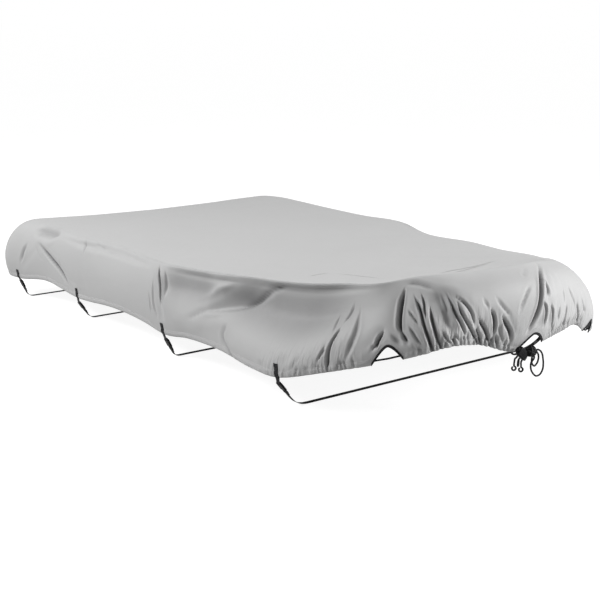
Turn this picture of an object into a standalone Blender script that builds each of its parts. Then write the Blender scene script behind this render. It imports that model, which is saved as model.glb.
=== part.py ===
"""Boat cover: one draped sheet with bound arches, four under-hull straps with buckles and a drawcord.

Metres, +Z up. X runs across the boat (near side -X), Y along it (bow -Y, stern +Y).
The geometry is laid out with z = 0 at the lowest point of the hull, then hung from an empty so
that the origin is under the middle of the top, where the boat carries the cover.
"""
import math

import bmesh
import bpy
import numpy as np
from mathutils import Matrix, Vector

NAME = "boat_cover"

# ---------------------------------------------------------------- driving dimensions
HOLD_HEIGHT = 0.3880       # underside of the top above the hull's lowest point, at the middle
CLOTH = 0.0022             # thickness of the coated cloth
GAP = 0.0003               # clearance between neighbouring pieces
HEM_DEPTH = 0.024          # height of the turned-up hem that holds the drawcord
HEM_PUFF = 0.0030          # how far the hem stands out over the cord
SPINE_AFT = 1.16           # the middle line of the top runs between these two stations
SPINE_FORE = -0.72

WEB_WIDTH = 0.020
WEB_THICK = 0.0016
KEEL_GAP = 0.0012          # underside of the strap above the lowest level

CORD_RADIUS = 0.0033
BINDING_WIDTH = 0.0075     # height of each leaf of the tape folded over an arch edge
BINDING_THICK = 0.0012

# ---------------------------------------------------------------- the draped shape
# A row per cross-section round the girth, from the middle of the stern along the near side to
# the bow and back along the far side. "facing" is the outward direction in degrees (-90 stern,
# 0 near side, 90 bow, 180 far side). The ridge is the edge of the top, the hem the lower edge.
# "out" and "drop" lead the cloth off the ridge; "tuck" and "rise" lead it up from the hem.
SECTION_COLUMNS = ("facing", "ridge_x", "ridge_y", "ridge_z", "out", "drop",
                   "hem_x", "hem_y", "hem_z", "tuck", "rise")
SECTIONS = (
    ("stern middle", -90, 0.000, 1.592, 0.384, 0.085, 0.030, 0.000, 1.705, 0.130, 0.045, 0.110),
    ("stern near", -90, -0.420, 1.594, 0.392, 0.088, 0.030, -0.425, 1.720, 0.128, 0.045, 0.110),
    ("stern turn", -84, -0.592, 1.597, 0.399, 0.116, 0.020, -0.642, 1.738, 0.118, 0.070, 0.110),
    ("near stern corner", -45, -0.688, 1.592, 0.402, 0.128, 0.013, -0.776, 1.738, 0.103, 0.070, 0.115),
    ("near aft", -6, -0.698, 1.510, 0.402, 0.090, 0.025, -0.772, 1.630, 0.101, 0.045, 0.115),
    ("near scallop 1", 0, -0.708, 1.280, 0.401, 0.070, 0.035, -0.747, 1.380, 0.130, 0.026, 0.110),
    ("near strap 2", 0, -0.716, 1.000, 0.400, 0.055, 0.040, -0.736, 1.045, 0.105, 0.022, 0.110),
    ("near scallop 2", 0, -0.690, 0.700, 0.402, 0.065, 0.040, -0.732, 0.700, 0.126, 0.028, 0.110),
    ("near aft of pleat", 0, -0.712, 0.420, 0.401, 0.050, 0.040, -0.735, 0.420, 0.121, 0.028, 0.110),
    ("near strap 3", 0, -0.724, 0.280, 0.402, 0.030, 0.060, -0.736, 0.250, 0.105, 0.030, 0.110),
    ("near fore of pleat", 0, -0.700, 0.060, 0.408, 0.004, 0.070, -0.724, 0.080, 0.122, 0.030, 0.110),
    ("near scallop 3", 0, -0.668, -0.200, 0.426, -0.012, 0.080, -0.722, -0.160, 0.127, 0.010, 0.105),
    ("near swell", 4, -0.640, -0.420, 0.441, -0.016, 0.085, -0.742, -0.400, 0.119, 0.002, 0.095),
    ("near strap 4", 12, -0.602, -0.580, 0.455, -0.014, 0.085, -0.741, -0.565, 0.124, 0.004, 0.095),
    ("near quarter", 27, -0.548, -0.710, 0.473, -0.004, 0.080, -0.680, -0.740, 0.172, 0.016, 0.100),
    ("near quarter arch", 42, -0.500, -0.850, 0.493, 0.012, 0.075, -0.560, -0.930, 0.232, 0.045, 0.100),
    ("near shoulder", 55, -0.400, -0.930, 0.518, 0.060, 0.034, -0.470, -1.040, 0.274, 0.035, 0.090),
    ("near corner", 66, -0.338, -0.980, 0.527, 0.100, 0.016, -0.385, -1.085, 0.296, 0.035, 0.090),
    ("bow near", 80, -0.230, -1.020, 0.531, 0.115, 0.010, -0.255, -1.090, 0.280, 0.055, 0.100),
    ("bow tie", 88, -0.110, -1.045, 0.534, 0.120, 0.010, -0.112, -1.120, 0.240, 0.060, 0.110),
    ("bow middle", 94, -0.020, -1.050, 0.533, 0.120, 0.010, -0.010, -1.140, 0.259, 0.050, 0.110),
    ("bow far", 110, 0.110, -1.010, 0.520, 0.120, 0.014, 0.140, -1.105, 0.264, 0.045, 0.100),
    ("far corner", 124, 0.255, -0.962, 0.494, 0.105, 0.024, 0.345, -1.022, 0.240, 0.055, 0.100),
    ("far flap", 133, 0.325, -0.915, 0.477, 0.110, 0.032, 0.420, -0.998, 0.192, 0.055, 0.110),
    ("far quarter arch", 143, 0.400, -0.850, 0.460, 0.110, 0.035, 0.492, -0.962, 0.178, 0.050, 0.115),
    ("far quarter", 157, 0.510, -0.700, 0.434, 0.105, 0.040, 0.626, -0.846, 0.142, 0.052, 0.120),
    ("far strap 4", 171, 0.590, -0.540, 0.415, 0.085, 0.040, 0.722, -0.565, 0.120, 0.050, 0.120),
    ("far swell", 178, 0.630, -0.340, 0.399, 0.060, 0.040, 0.740, -0.350, 0.124, 0.035, 0.115),
    ("far scallop 3", 180, 0.680, -0.120, 0.389, 0.045, 0.045, 0.738, -0.120, 0.134, 0.030, 0.110),
    ("far dip", 180, 0.700, 0.190, 0.377, 0.030, 0.050, 0.742, 0.060, 0.126, 0.030, 0.110),
    ("far strap 3", 180, 0.738, 0.400, 0.398, 0.030, 0.050, 0.742, 0.250, 0.106, 0.030, 0.110),
    ("far scallop 2", 180, 0.715, 0.700, 0.400, 0.050, 0.040, 0.734, 0.650, 0.134, 0.028, 0.110),
    ("far strap 2", 180, 0.722, 1.020, 0.400, 0.050, 0.040, 0.742, 1.045, 0.106, 0.022, 0.110),
    ("far scallop 1", 180, 0.738, 1.280, 0.400, 0.045, 0.040, 0.750, 1.320, 0.130, 0.022, 0.110),
    ("far aft", 186, 0.734, 1.470, 0.401, 0.075, 0.030, 0.775, 1.630, 0.102, 0.040, 0.115),
    ("far stern corner", 225, 0.702, 1.555, 0.400, 0.105, 0.020, 0.745, 1.705, 0.106, 0.055, 0.115),
    ("stern far turn", 264, 0.610, 1.575, 0.397, 0.100, 0.025, 0.625, 1.700, 0.122, 0.050, 0.110),
    ("stern far", 270, 0.400, 1.585, 0.390, 0.085, 0.030, 0.420, 1.698, 0.130, 0.045, 0.110),
    ("stern middle", 270, 0.000, 1.592, 0.384, 0.085, 0.030, 0.000, 1.705, 0.130, 0.045, 0.110),
)
PLACE_ZERO = "bow tie"     # girth positions are measured from here, near side negative

# Stations of the middle line of the top: position along the boat and height of the cloth.
MIDDLE_COLUMNS = ("y", "z")
MIDDLE = ((1.16, 0.3930), (0.60, 0.3940), (0.10, 0.3900), (-0.30, 0.3960), (-0.72, 0.4260))

# A row per fold of the cloth: where it starts and ends on the girth and how far down the side
# (0 at the ridge, 1 at the hem), with a middle point that bends it. Depth below zero is a trough.
FOLD_COLUMNS = ("start_place", "start_down", "mid_place", "mid_down", "end_place", "end_down",
                "width", "depth")
FOLDS = (
    ("near lip hollow aft", -1.74, 0.28, -1.55, 0.29, -1.36, 0.30, 0.066, -0.022),
    ("near lip hollow", -1.46, 0.28, -1.00, 0.31, -0.46, 0.30, 0.074, -0.032),
    ("far lip hollow", 0.56, 0.28, 1.20, 0.30, 1.90, 0.28, 0.070, -0.022),
    ("stern near droop", -3.66, 0.10, -3.62, 0.50, -3.64, 1.00, 0.050, -0.010),
    ("near star aft", -2.86, 0.36, -2.95, 0.66, -3.04, 0.92, 0.020, -0.008),
    ("near star fore", -2.80, 0.38, -2.60, 0.68, -2.40, 1.00, 0.026, -0.015),
    ("near star short", -2.46, 0.52, -2.43, 0.64, -2.40, 0.78, 0.018, -0.005),
    ("near ridge nick", -2.35, 0.00, -2.34, 0.14, -2.32, 0.28, 0.020, -0.006),
    ("near pleat aft", -1.785, 0.24, -1.780, 0.58, -1.760, 0.90, 0.014, -0.007),
    ("near pleat", -1.757, 0.02, -1.738, 0.50, -1.722, 0.88, 0.018, -0.024),
    ("near pleat fore", -1.700, 0.06, -1.694, 0.26, -1.690, 0.46, 0.014, -0.010),
    ("near swag", -1.53, 0.66, -1.31, 0.38, -1.06, 0.06, 0.050, -0.020),
    ("near swag lip", -1.55, 0.84, -1.30, 0.62, -1.02, 0.16, 0.026, 0.012),
    ("near quarter nick", -0.745, 0.24, -0.752, 0.38, -0.742, 0.54, 0.016, -0.006),
    ("near quarter fold", -0.680, 0.40, -0.706, 0.70, -0.690, 1.00, 0.020, -0.018),
    ("near quarter slant", -0.550, 0.32, -0.615, 0.68, -0.650, 1.00, 0.032, -0.014),
    ("near arch slant", -0.498, 0.50, -0.570, 0.80, -0.604, 1.00, 0.026, -0.013),
    ("near arch crease", -0.512, 0.52, -0.522, 0.66, -0.528, 0.80, 0.014, -0.014),
    ("near deep fold", -0.420, 0.03, -0.462, 0.54, -0.392, 0.96, 0.028, -0.030),
    ("near panel fold 1", -0.396, 0.24, -0.378, 0.56, -0.340, 1.00, 0.018, -0.022),
    ("near panel fold 2", -0.356, 0.08, -0.344, 0.56, -0.312, 1.00, 0.018, -0.021),
    ("near corner edge", -0.276, 0.22, -0.236, 0.62, -0.168, 1.00, 0.018, -0.018),
    ("bow fold 1", -0.262, 0.28, -0.196, 0.62, -0.138, 1.00, 0.020, -0.022),
    ("bow fold 2", -0.170, 0.62, -0.138, 0.80, -0.100, 1.00, 0.016, -0.016),
    ("bow fold 3", -0.128, 0.48, -0.100, 0.74, -0.086, 1.00, 0.018, -0.020),
    ("bow fold 4", -0.076, 0.54, -0.036, 0.78, -0.008, 1.00, 0.020, -0.026),
    ("bow main fold", 0.222, 0.03, 0.118, 0.48, 0.006, 1.00, 0.026, -0.038),
    ("bow short fold", 0.226, 0.22, 0.198, 0.36, 0.176, 0.50, 0.016, -0.012),
    ("bow fold 5", 0.146, 0.46, 0.130, 0.70, 0.108, 1.00, 0.018, -0.024),
    ("bow fold 6", 0.196, 0.48, 0.178, 0.76, 0.166, 1.00, 0.016, -0.020),
    ("far bow fold 1", 0.262, 0.40, 0.272, 0.74, 0.260, 1.00, 0.018, -0.015),
    ("far bow fold 2", 0.338, 0.44, 0.366, 0.74, 0.372, 1.00, 0.018, -0.015),
    ("far bow fold 3", 0.430, 0.30, 0.462, 0.66, 0.448, 1.00, 0.020, -0.018),
    ("far deep fold", 0.640, 0.05, 0.676, 0.54, 0.642, 1.00, 0.026, -0.030),
    ("far panel fold 1", 0.715, 0.20, 0.742, 0.60, 0.716, 1.00, 0.020, -0.020),
    ("far panel fold 2", 0.800, 0.34, 0.832, 0.68, 0.806, 1.00, 0.022, -0.018),
    ("far quarter slant", 0.900, 0.28, 0.950, 0.64, 0.930, 1.00, 0.032, -0.014),
    ("far swag", 1.180, 0.08, 1.420, 0.40, 1.640, 0.66, 0.052, -0.018),
    ("far swag lip", 1.150, 0.20, 1.410, 0.62, 1.660, 0.84, 0.028, 0.010),
    ("far pleat", 1.930, 0.02, 1.915, 0.50, 1.900, 0.86, 0.020, -0.020),
    ("far star fore", 2.960, 0.40, 2.760, 0.70, 2.580, 1.00, 0.028, -0.013),
    ("far star aft", 3.020, 0.38, 3.110, 0.66, 3.190, 0.92, 0.022, -0.008),
    ("stern far droop", 3.780, 0.12, 3.740, 0.52, 3.760, 1.00, 0.052, -0.011),
)

# Arches cut out of the hem at the bow: middle on the girth, half width, height, and the
# clearance of the drawcord inside the hem beside it.
ARCH_COLUMNS = ("place", "half_width", "height", "cord_clear")
ARCHES = (
    ("near", -0.500, 0.054, 0.060, 0.0018),
    ("bow", 0.060, 0.058, 0.054, 0.0030),
    ("far", 0.570, 0.054, 0.056, 0.0024),
)
ARCH_STEPS = (-1.0, -0.74, -0.38, 0.0, 0.38, 0.74, 1.0)
ARCH_POWER = 1.5

# A row per strap from stern to bow: where it crosses along the boat, the middle and the lean of
# its buckle (degrees from upright), where it meets the lowest level on each side, and the slant
# of its end sewn to the cover (girth place per metre of height).
STRAP_COLUMNS = ("y", "buckle_x", "buckle_z", "lean", "floor_x", "far_floor_x", "slant")
STRAPS = (
    ("1", 1.630, -0.7575, 0.0660, 23.0, -0.680, 0.640, 0.0),
    ("2", 1.045, -0.7160, 0.0605, 34.0, -0.645, 0.600, 0.0),
    ("3", 0.250, -0.7140, 0.0585, 27.0, -0.660, 0.600, 0.0),
    ("4", -0.565, -0.7200, 0.0820, 39.0, -0.600, 0.560, -0.42),
)

# Rows of the sheet: shares of the way from the middle line to the ridge, shares of the way from
# the ridge to the hem field, and heights above the lower edge for the hem and the strap patches.
TOP_ROWS = (0.0, 0.45, 0.84)
SIDE_ROWS = (0.0, 0.08, 0.20, 0.33, 0.47, 0.61, 0.74, 0.87)
HEM_ROWS = (0.052, 0.024, 0.012, 0.0)

# Column spacing along the girth, finer where the folds are.
PITCH_COLUMNS = ("from_place", "to_place", "pitch")
NEAR_PITCH = (
    ("stern", -3.92, -3.30, 0.124), ("corner", -3.30, -2.98, 0.046), ("aft", -2.98, -2.30, 0.085),
    ("side", -2.30, -1.84, 0.115), ("pleat", -1.84, -1.66, 0.020), ("swag", -1.66, -1.00, 0.066),
    ("quarter", -1.00, -0.74, 0.043), ("folds", -0.74, 0.00, 0.0190),
)
FAR_PITCH = (
    ("folds", 0.00, 0.46, 0.0190), ("quarter", 0.46, 0.88, 0.026), ("bow", 0.88, 1.16, 0.056),
    ("swag", 1.16, 1.86, 0.070), ("pleat", 1.86, 2.00, 0.023), ("side", 2.00, 2.66, 0.110),
    ("aft", 2.66, 3.20, 0.090), ("corner", 3.20, 3.50, 0.050), ("stern", 3.50, 4.09, 0.118),
)

# ---------------------------------------------------------------- the tie at the bow
KNOT_CENTRE = Vector((-0.0570, -1.1520, 0.2430))
KNOT_RADIUS = 0.0180
LOCK_CENTRE = Vector((-0.1040, -1.1500, 0.2393))
LOCK_TILT = 40.9           # degrees that the barrel's length points below level
LOCK_SIZE = (0.050, 0.018, 0.033)
BUTTON_RADIUS = 0.0078
BUTTON_LENGTH = 0.0080
END_RING_RADIUS = 0.0072
END_RING_CORD = 0.0037

# Routes of the cord, a row per point. The leads run from an arch foot to the tie, a loop starts
# and ends at the knot or at the lock, and a tail ends at its knotted ring.
LEAD_RIGHT = ((-0.0115, -1.1325, 0.2680), (-0.0240, -1.1395, 0.2688), (-0.0370, -1.1455, 0.2680))
LEAD_LEFT = ((-0.1180, -1.1065, 0.2400), (-0.1155, -1.1150, 0.2315), (-0.1105, -1.1260, 0.2320),
             (-0.1060, -1.1330, 0.2365), (-0.1042, -1.1398, 0.2372))
LOOP_LARGE = ((-0.026, -1.1645, 0.2385), (-0.0175, -1.166, 0.226), (-0.011, -1.165, 0.208),
              (-0.0065, -1.164, 0.187), (-0.008, -1.163, 0.165), (-0.019, -1.162, 0.150),
              (-0.038, -1.161, 0.147), (-0.054, -1.161, 0.158), (-0.067, -1.161, 0.177),
              (-0.070, -1.162, 0.200))
LOOP_MEDIUM = ((-0.027, -1.147, 0.232), (-0.017, -1.148, 0.219), (-0.017, -1.149, 0.202),
               (-0.025, -1.149, 0.187), (-0.037, -1.149, 0.181), (-0.047, -1.148, 0.190),
               (-0.050, -1.147, 0.208))
LOOP_SHORT = ((-0.1268, -1.1555, 0.2140), (-0.1275, -1.1560, 0.2050), (-0.1258, -1.1530, 0.1985),
              (-0.1225, -1.1480, 0.1965), (-0.1188, -1.1445, 0.2000), (-0.1180, -1.1440, 0.2085))
TAIL_LEFT = ((-0.1345, -1.1460, 0.2260), (-0.1385, -1.1460, 0.2140), (-0.1395, -1.1460, 0.2020))
TAIL_RIGHT = ((-0.1140, -1.1550, 0.2060), (-0.1130, -1.1550, 0.2000), (-0.1130, -1.1550, 0.1945))

# ---------------------------------------------------------------- surface of the cloth
UP = np.array((0.0, 0.0, 1.0))
ROWS = np.array([row[1:] for row in SECTIONS], dtype=float)
NAMES = [row[0] for row in SECTIONS]


def outward(facing):
    """Horizontal unit vectors that face out of the cover, from angles in degrees."""
    turn = np.radians(facing)
    return np.stack((-np.cos(turn), -np.sin(turn), np.zeros_like(turn)), axis=-1)


def girth_places():
    """Distance of each section along the girth, measured from the section PLACE_ZERO."""
    middle = (ROWS[:, 1:4] + ROWS[:, 6:9]) / 2 + 0.05 * outward(ROWS[:, 0])
    steps = np.hypot(*np.diff(middle[:, :2], axis=0).T)
    along = np.concatenate(((0.0,), np.cumsum(steps)))
    return along - along[NAMES.index(PLACE_ZERO)]


PLACES = girth_places()


def smooth(stations, values, where):
    """Values at any places on a smooth curve through the rows of a table."""
    steps = np.diff(stations)[:, None]
    slopes = np.diff(values, axis=0) / steps
    lean = np.empty_like(values)
    lean[0] = slopes[0]
    lean[-1] = slopes[-1]
    lean[1:-1] = (slopes[:-1] * steps[1:] + slopes[1:] * steps[:-1]) / (steps[1:] + steps[:-1])
    row = np.clip(np.searchsorted(stations, where) - 1, 0, len(stations) - 2)
    step = steps[row]
    t = (where - stations[row])[:, None] / step
    start = (2 * t ** 3 - 3 * t ** 2 + 1) * values[row] + (t ** 3 - 2 * t ** 2 + t) * step * lean[row]
    end = (3 * t ** 2 - 2 * t ** 3) * values[row + 1] + (t ** 3 - t ** 2) * step * lean[row + 1]
    return start + end


def side_curves(place):
    """Sampled ridge-to-hem curves at girth places, with the length along each."""
    row = smooth(PLACES, ROWS, place)
    out = outward(row[:, 0])
    ridge = row[:, 1:4]
    hem = row[:, 6:9]
    lead = ridge + out * row[:, 4:5] - UP * row[:, 5:6]
    lift = hem + out * row[:, 9:10] + UP * row[:, 10:11]
    t = np.linspace(0, 1, 25)[None, :, None]
    curve = ((1 - t) ** 3 * ridge[:, None] + 3 * (1 - t) ** 2 * t * lead[:, None]
             + 3 * (1 - t) * t ** 2 * lift[:, None] + t ** 3 * hem[:, None])
    steps = np.linalg.norm(np.diff(curve, axis=1), axis=2)
    length = np.concatenate((np.zeros((len(curve), 1)), np.cumsum(steps, axis=1)), axis=1)
    return curve, length


def drape(place, down):
    """Points of the cloth without folds, a share of the way down the side (0 ridge, 1 hem)."""
    curve, length = side_curves(place)
    points = np.empty((len(place), 3))
    for index, share in enumerate(down):
        at = share * length[index, -1]
        for axis in range(3):
            points[index, axis] = np.interp(at, length[index], curve[index, :, axis])
    return points


def side_length(place):
    return side_curves(place)[1][:, -1]


def rise_of_hem(place):
    """How far the lower edge is raised by the arches cut from the hem."""
    rise = np.zeros_like(place)
    for _, middle, half_width, height, _ in ARCHES:
        across = np.clip(np.abs(place - middle) / half_width, 0, 1)
        rise += height * (1 - across ** ARCH_POWER)
    return rise


def ease(value):
    value = np.clip(value, 0, 1)
    return value * value * (3 - 2 * value)


def fold_depth(place, down):
    """How far the folds carry the cloth outward at each spot (inward where negative)."""
    depth = np.zeros_like(place)
    height = 0.33
    spot = np.stack((place, down * height), axis=-1)
    for _, p0, d0, p1, d1, p2, d2, width, fold in FOLDS:
        t = np.linspace(0, 1, 15)[:, None]
        stations = np.array((0.0, 0.5, 1.0))
        route = smooth(stations, np.array(((p0, d0 * height), (p1, d1 * height), (p2, d2 * height))),
                       t[:, 0])
        nearest = np.full(len(place), 9.0)
        along = np.zeros(len(place))
        for index in range(len(route) - 1):
            start = route[index]
            run = route[index + 1] - start
            part = np.clip(((spot - start) @ run) / (run @ run), 0, 1)
            distance = np.linalg.norm(spot - start - part[:, None] * run, axis=1)
            closer = distance < nearest
            nearest = np.where(closer, distance, nearest)
            along = np.where(closer, (index + part) / (len(route) - 1), along)
        fade = ease(along / 0.30)
        if d2 < 0.97:
            fade = fade * ease((1 - along) / 0.30)
        depth += fold * fade * np.exp(-(nearest / width) ** 2)
    return depth


def strap_place(side, y):
    """Girth place where a strap at station y crosses the hem on one side of the boat."""
    place = np.linspace(-3.14, -0.60, 300) if side == "near" else np.linspace(0.95, 3.27, 300)
    hem_y = smooth(PLACES, ROWS, place)[:, 7]
    order = np.argsort(hem_y)
    return float(np.interp(y, hem_y[order], place[order]))


STRAP_PLACES = [strap_place(side, row[1]) for row in STRAPS for side in ("near", "far")]


def calm(place, down):
    """1 where folds keep their depth, 0 under the strap patches and beside the arches."""
    low = ease((down - 0.62) / 0.16)
    keep = np.ones_like(place)
    for strap in STRAP_PLACES:
        keep = np.minimum(keep, ease((np.abs(place - strap) - 0.014) / 0.028))
    for _, middle, half_width, _, _ in ARCHES:
        beside = np.abs(place - middle) - half_width
        keep = np.minimum(keep, 0.04 + 0.96 * ease((beside - 0.026) / 0.024))
    return 1 - low * (1 - keep)


def hem_puff(place, above_edge):
    """How far the hem stands out over the cord; nothing inside the arches."""
    puff = np.interp(above_edge, (0.0, HEM_DEPTH / 2, HEM_DEPTH), (0.0, HEM_PUFF, 0.0))
    for _, middle, half_width, _, _ in ARCHES:
        puff = puff * ease((np.abs(place - middle) / half_width - 1.0) / 0.25)
    return puff


def side_point(place, down, lift=0.0):
    """Points and outward normals of the folded cloth's outer face."""
    small = 0.004
    point = drape(place, down)
    step_along = drape(place + small, down) - drape(place - small, down)
    step_down = drape(place, np.minimum(down + 0.01, 1)) - drape(place, np.maximum(down - 0.01, 0))
    normal = np.cross(step_down, step_along)
    normal /= np.linalg.norm(normal, axis=1)[:, None]
    above_edge = (1 - down) * side_length(place) - rise_of_hem(place)
    move = fold_depth(place, down) * calm(place, down) + hem_puff(place, above_edge) + lift
    return point + normal * move[:, None], normal


def down_at(place, above_edge):
    """Share of the way down the side for a height above the lower edge of the cloth."""
    return 1 - (above_edge + rise_of_hem(place)) / side_length(place)


def side_rows(place):
    """Shares down the side of every row of the sheet, from the ridge to the lower edge."""
    top_of_hem = down_at(place, HEM_ROWS[0])
    rows = [share * top_of_hem for share in SIDE_ROWS]
    rows += [down_at(place, height) for height in HEM_ROWS]
    return rows


def columns(pitches):
    """Girth places of the sheet's columns, with the columns that arches and straps need."""
    places = []
    for _, start, end, pitch in pitches:
        count = max(1, round((end - start) / pitch))
        places += [start + (end - start) * step / count for step in range(count)]
    places.append(pitches[-1][2])
    low, high = pitches[0][1], pitches[-1][2]
    needed = [middle + half_width * step for _, middle, half_width, _, _ in ARCHES for step in ARCH_STEPS]
    needed += [strap + side * 0.0135 for strap in STRAP_PLACES for side in (-1, 1)]
    for place in (place for place in needed if low + 0.02 < place < high):
        places = [other for other in places if other in needed or abs(other - place) > 0.0098]
        places.append(place)
    return sorted(places)


def level(places, count):
    """Splits the widest gaps between columns until there are enough of them."""
    while len(places) < count:
        gaps = np.diff(places)
        widest = int(np.argmax(gaps))
        places.insert(widest + 1, (places[widest] + places[widest + 1]) / 2)
    return places


def cover_grid():
    """Positions of the sheet's corners, a row of columns for each row from middle to hem."""
    near = columns(((NEAR_PITCH[0][0], PLACES[0], *NEAR_PITCH[0][2:]), *NEAR_PITCH[1:]))
    far = columns((*FAR_PITCH[:-1], (*FAR_PITCH[-1][:2], PLACES[-1], FAR_PITCH[-1][3])))
    near = [place for place in near if place < -0.006] + [0.0]
    far = [place for place in far if place > 0.006]
    count = max(len(near), len(far) + 1)
    near = level(near, count)
    far = level([0.0] + far, count)[1:]
    place = np.array(near + far)
    ridge = smooth(PLACES, ROWS, place)[:, 1:4]
    half = len(near)
    middle_y = np.clip(ridge[:, 1], SPINE_FORE, SPINE_AFT)
    middle_y[half:] = middle_y[:half - 1][::-1]
    stations = np.array([row[0] for row in MIDDLE])
    heights = np.array([(row[1],) for row in MIDDLE])
    middle_z = smooth(-stations, heights, -middle_y)[:, 0]
    grid = []
    for share in TOP_ROWS:
        x = ridge[:, 0] * share
        y = middle_y + (ridge[:, 1] - middle_y) * share
        z = middle_z + (ridge[:, 2] - middle_z) * share ** 2
        grid.append(np.stack((x, y, z), axis=-1))
    for down in side_rows(place):
        grid.append(side_point(place, down)[0])
    grid = np.array(grid)
    grid[:, -1] = grid[:, 0]
    return grid


# ---------------------------------------------------------------- making objects
def clear_scene():
    for item in list(bpy.data.objects):
        bpy.data.objects.remove(item, do_unlink=True)


clear_scene()
parts = bpy.data.collections.new(NAME)
bpy.context.scene.collection.children.link(parts)
cutters = bpy.data.collections.new(NAME + "_cutters")
bpy.context.scene.collection.children.link(cutters)
carrier = bpy.data.objects.new("carrier", None)
carrier.location = (0.0, 0.0, -HOLD_HEIGHT)
parts.objects.link(carrier)


def material(name, colour, roughness, metallic=0.0):
    made = bpy.data.materials.new(name)
    made.use_nodes = True
    shader = made.node_tree.nodes["Principled BSDF"]
    shader.inputs["Base Color"].default_value = (*colour, 1.0)
    shader.inputs["Roughness"].default_value = roughness
    shader.inputs["Metallic"].default_value = metallic
    return made


GREY_CLOTH = material("grey coated polyester", (0.46, 0.46, 0.46), 0.62)
BLACK_TAPE = material("black binding tape", (0.018, 0.018, 0.020), 0.75)
BLACK_WEBBING = material("black webbing", (0.022, 0.022, 0.024), 0.70)
BLACK_PLASTIC = material("black acetal", (0.020, 0.020, 0.022), 0.38)
BLACK_CORD = material("black braided cord", (0.020, 0.020, 0.022), 0.68)


def add(name, mesh, look):
    item = bpy.data.objects.new(name, mesh)
    parts.objects.link(item)
    item.parent = carrier
    if not mesh.materials:
        mesh.materials.append(look)
    return item


def sheet(name, grid, thickness, offset, look, flip=False):
    """A thin sheet: a flat grid laid over the given rows of points, then given thickness."""
    rows, across = grid.shape[:2]
    made = bmesh.new()
    bmesh.ops.create_grid(made, x_segments=across - 1, y_segments=rows - 1, size=1.0)
    for corner in made.verts:
        column = round((corner.co.x + 1) / 2 * (across - 1))
        row = round((corner.co.y + 1) / 2 * (rows - 1))
        corner.co = grid[row, column]
    bmesh.ops.remove_doubles(made, verts=made.verts, dist=0.00002)
    if flip:
        bmesh.ops.reverse_faces(made, faces=made.faces)
    mesh = bpy.data.meshes.new(name)
    made.to_mesh(mesh)
    made.free()
    mesh.shade_smooth()
    item = add(name, mesh, look)
    shell = item.modifiers.new("thickness", "SOLIDIFY")
    shell.thickness = thickness
    shell.offset = offset
    facets = item.modifiers.new("facets", "TRIANGULATE")
    facets.quad_method = "SHORTEST_DIAGONAL"
    return item


# ---------------------------------------------------------------- cover cloth
cover = sheet("cover", cover_grid(), CLOTH, -1.0, GREY_CLOTH, flip=True)


# ---------------------------------------------------------------- arch bindings
def binding_grid(middle, half_width, height):
    """Tape folded over the edge of one arch: outer leaf, turn, inner leaf."""
    place = middle + half_width * np.array(ARCH_STEPS)
    across = np.abs(np.array(ARCH_STEPS))
    slope = height * ARCH_POWER * across ** (ARCH_POWER - 1) / half_width
    leaf = np.minimum(BINDING_WIDTH * np.sqrt(1 + slope ** 2), HEM_ROWS[2] - 0.0008)
    edge, normal = side_point(place, down_at(place, 0.0))
    top, _ = side_point(place, down_at(place, leaf))
    down = edge - top
    down /= np.linalg.norm(down, axis=1)[:, None]
    clear = 3 * GAP + BINDING_THICK / 2
    turned = edge + down * clear
    inward = normal * (CLOTH + clear)
    outer = normal * clear
    return np.array((top + outer, turned + outer, turned - inward, top - inward))


for label, middle, half_width, height, _ in ARCHES:
    sheet("binding_" + label, binding_grid(middle, half_width, height), BINDING_THICK, 0.0, BLACK_TAPE)


# ---------------------------------------------------------------- buckles
def box(name, low, high, look=None):
    """A box between two corners; without a look it is a cutter."""
    made = bmesh.new()
    bmesh.ops.create_cube(made, size=1.0)
    size = Vector(high) - Vector(low)
    centre = (Vector(high) + Vector(low)) / 2
    bmesh.ops.scale(made, vec=size, verts=made.verts)
    bmesh.ops.translate(made, vec=centre, verts=made.verts)
    mesh = bpy.data.meshes.new(name)
    made.to_mesh(mesh)
    made.free()
    item = bpy.data.objects.new(name, mesh)
    (parts if look else cutters).objects.link(item)
    if look:
        mesh.materials.append(look)
    else:
        item.hide_render = True
        item.display_type = "WIRE"
    return item


def carve(item, cutter, operation="DIFFERENCE"):
    step = item.modifiers.new(cutter.name, "BOOLEAN")
    step.operation = operation
    step.object = cutter


def finished_mesh(item, name):
    """The item's mesh with its modifiers applied; the item and its cutters are removed."""
    bpy.context.view_layer.update()
    graph = bpy.context.evaluated_depsgraph_get()
    mesh = bpy.data.meshes.new_from_object(item.evaluated_get(graph))
    mesh.name = name
    helpers = [step.object for step in item.modifiers if step.type == "BOOLEAN"]
    for helper in [item, *helpers]:
        bpy.data.objects.remove(helper, do_unlink=True)
    return mesh


BUCKLE_HALF_WIDTH = 0.0150
BUCKLE_HALF_THICK = 0.0045
BUCKLE_END = 0.0264        # half length of the closed buckle
BAR_FROM_MIDDLE = 0.0250   # the webbing bars
BAR_HALF = 0.0014
SLOT_HALF_WIDTH = 0.0106
SLOT_END = 0.0205
MEETING = -0.0040          # the socket's mouth, below the buckle's middle


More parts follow.
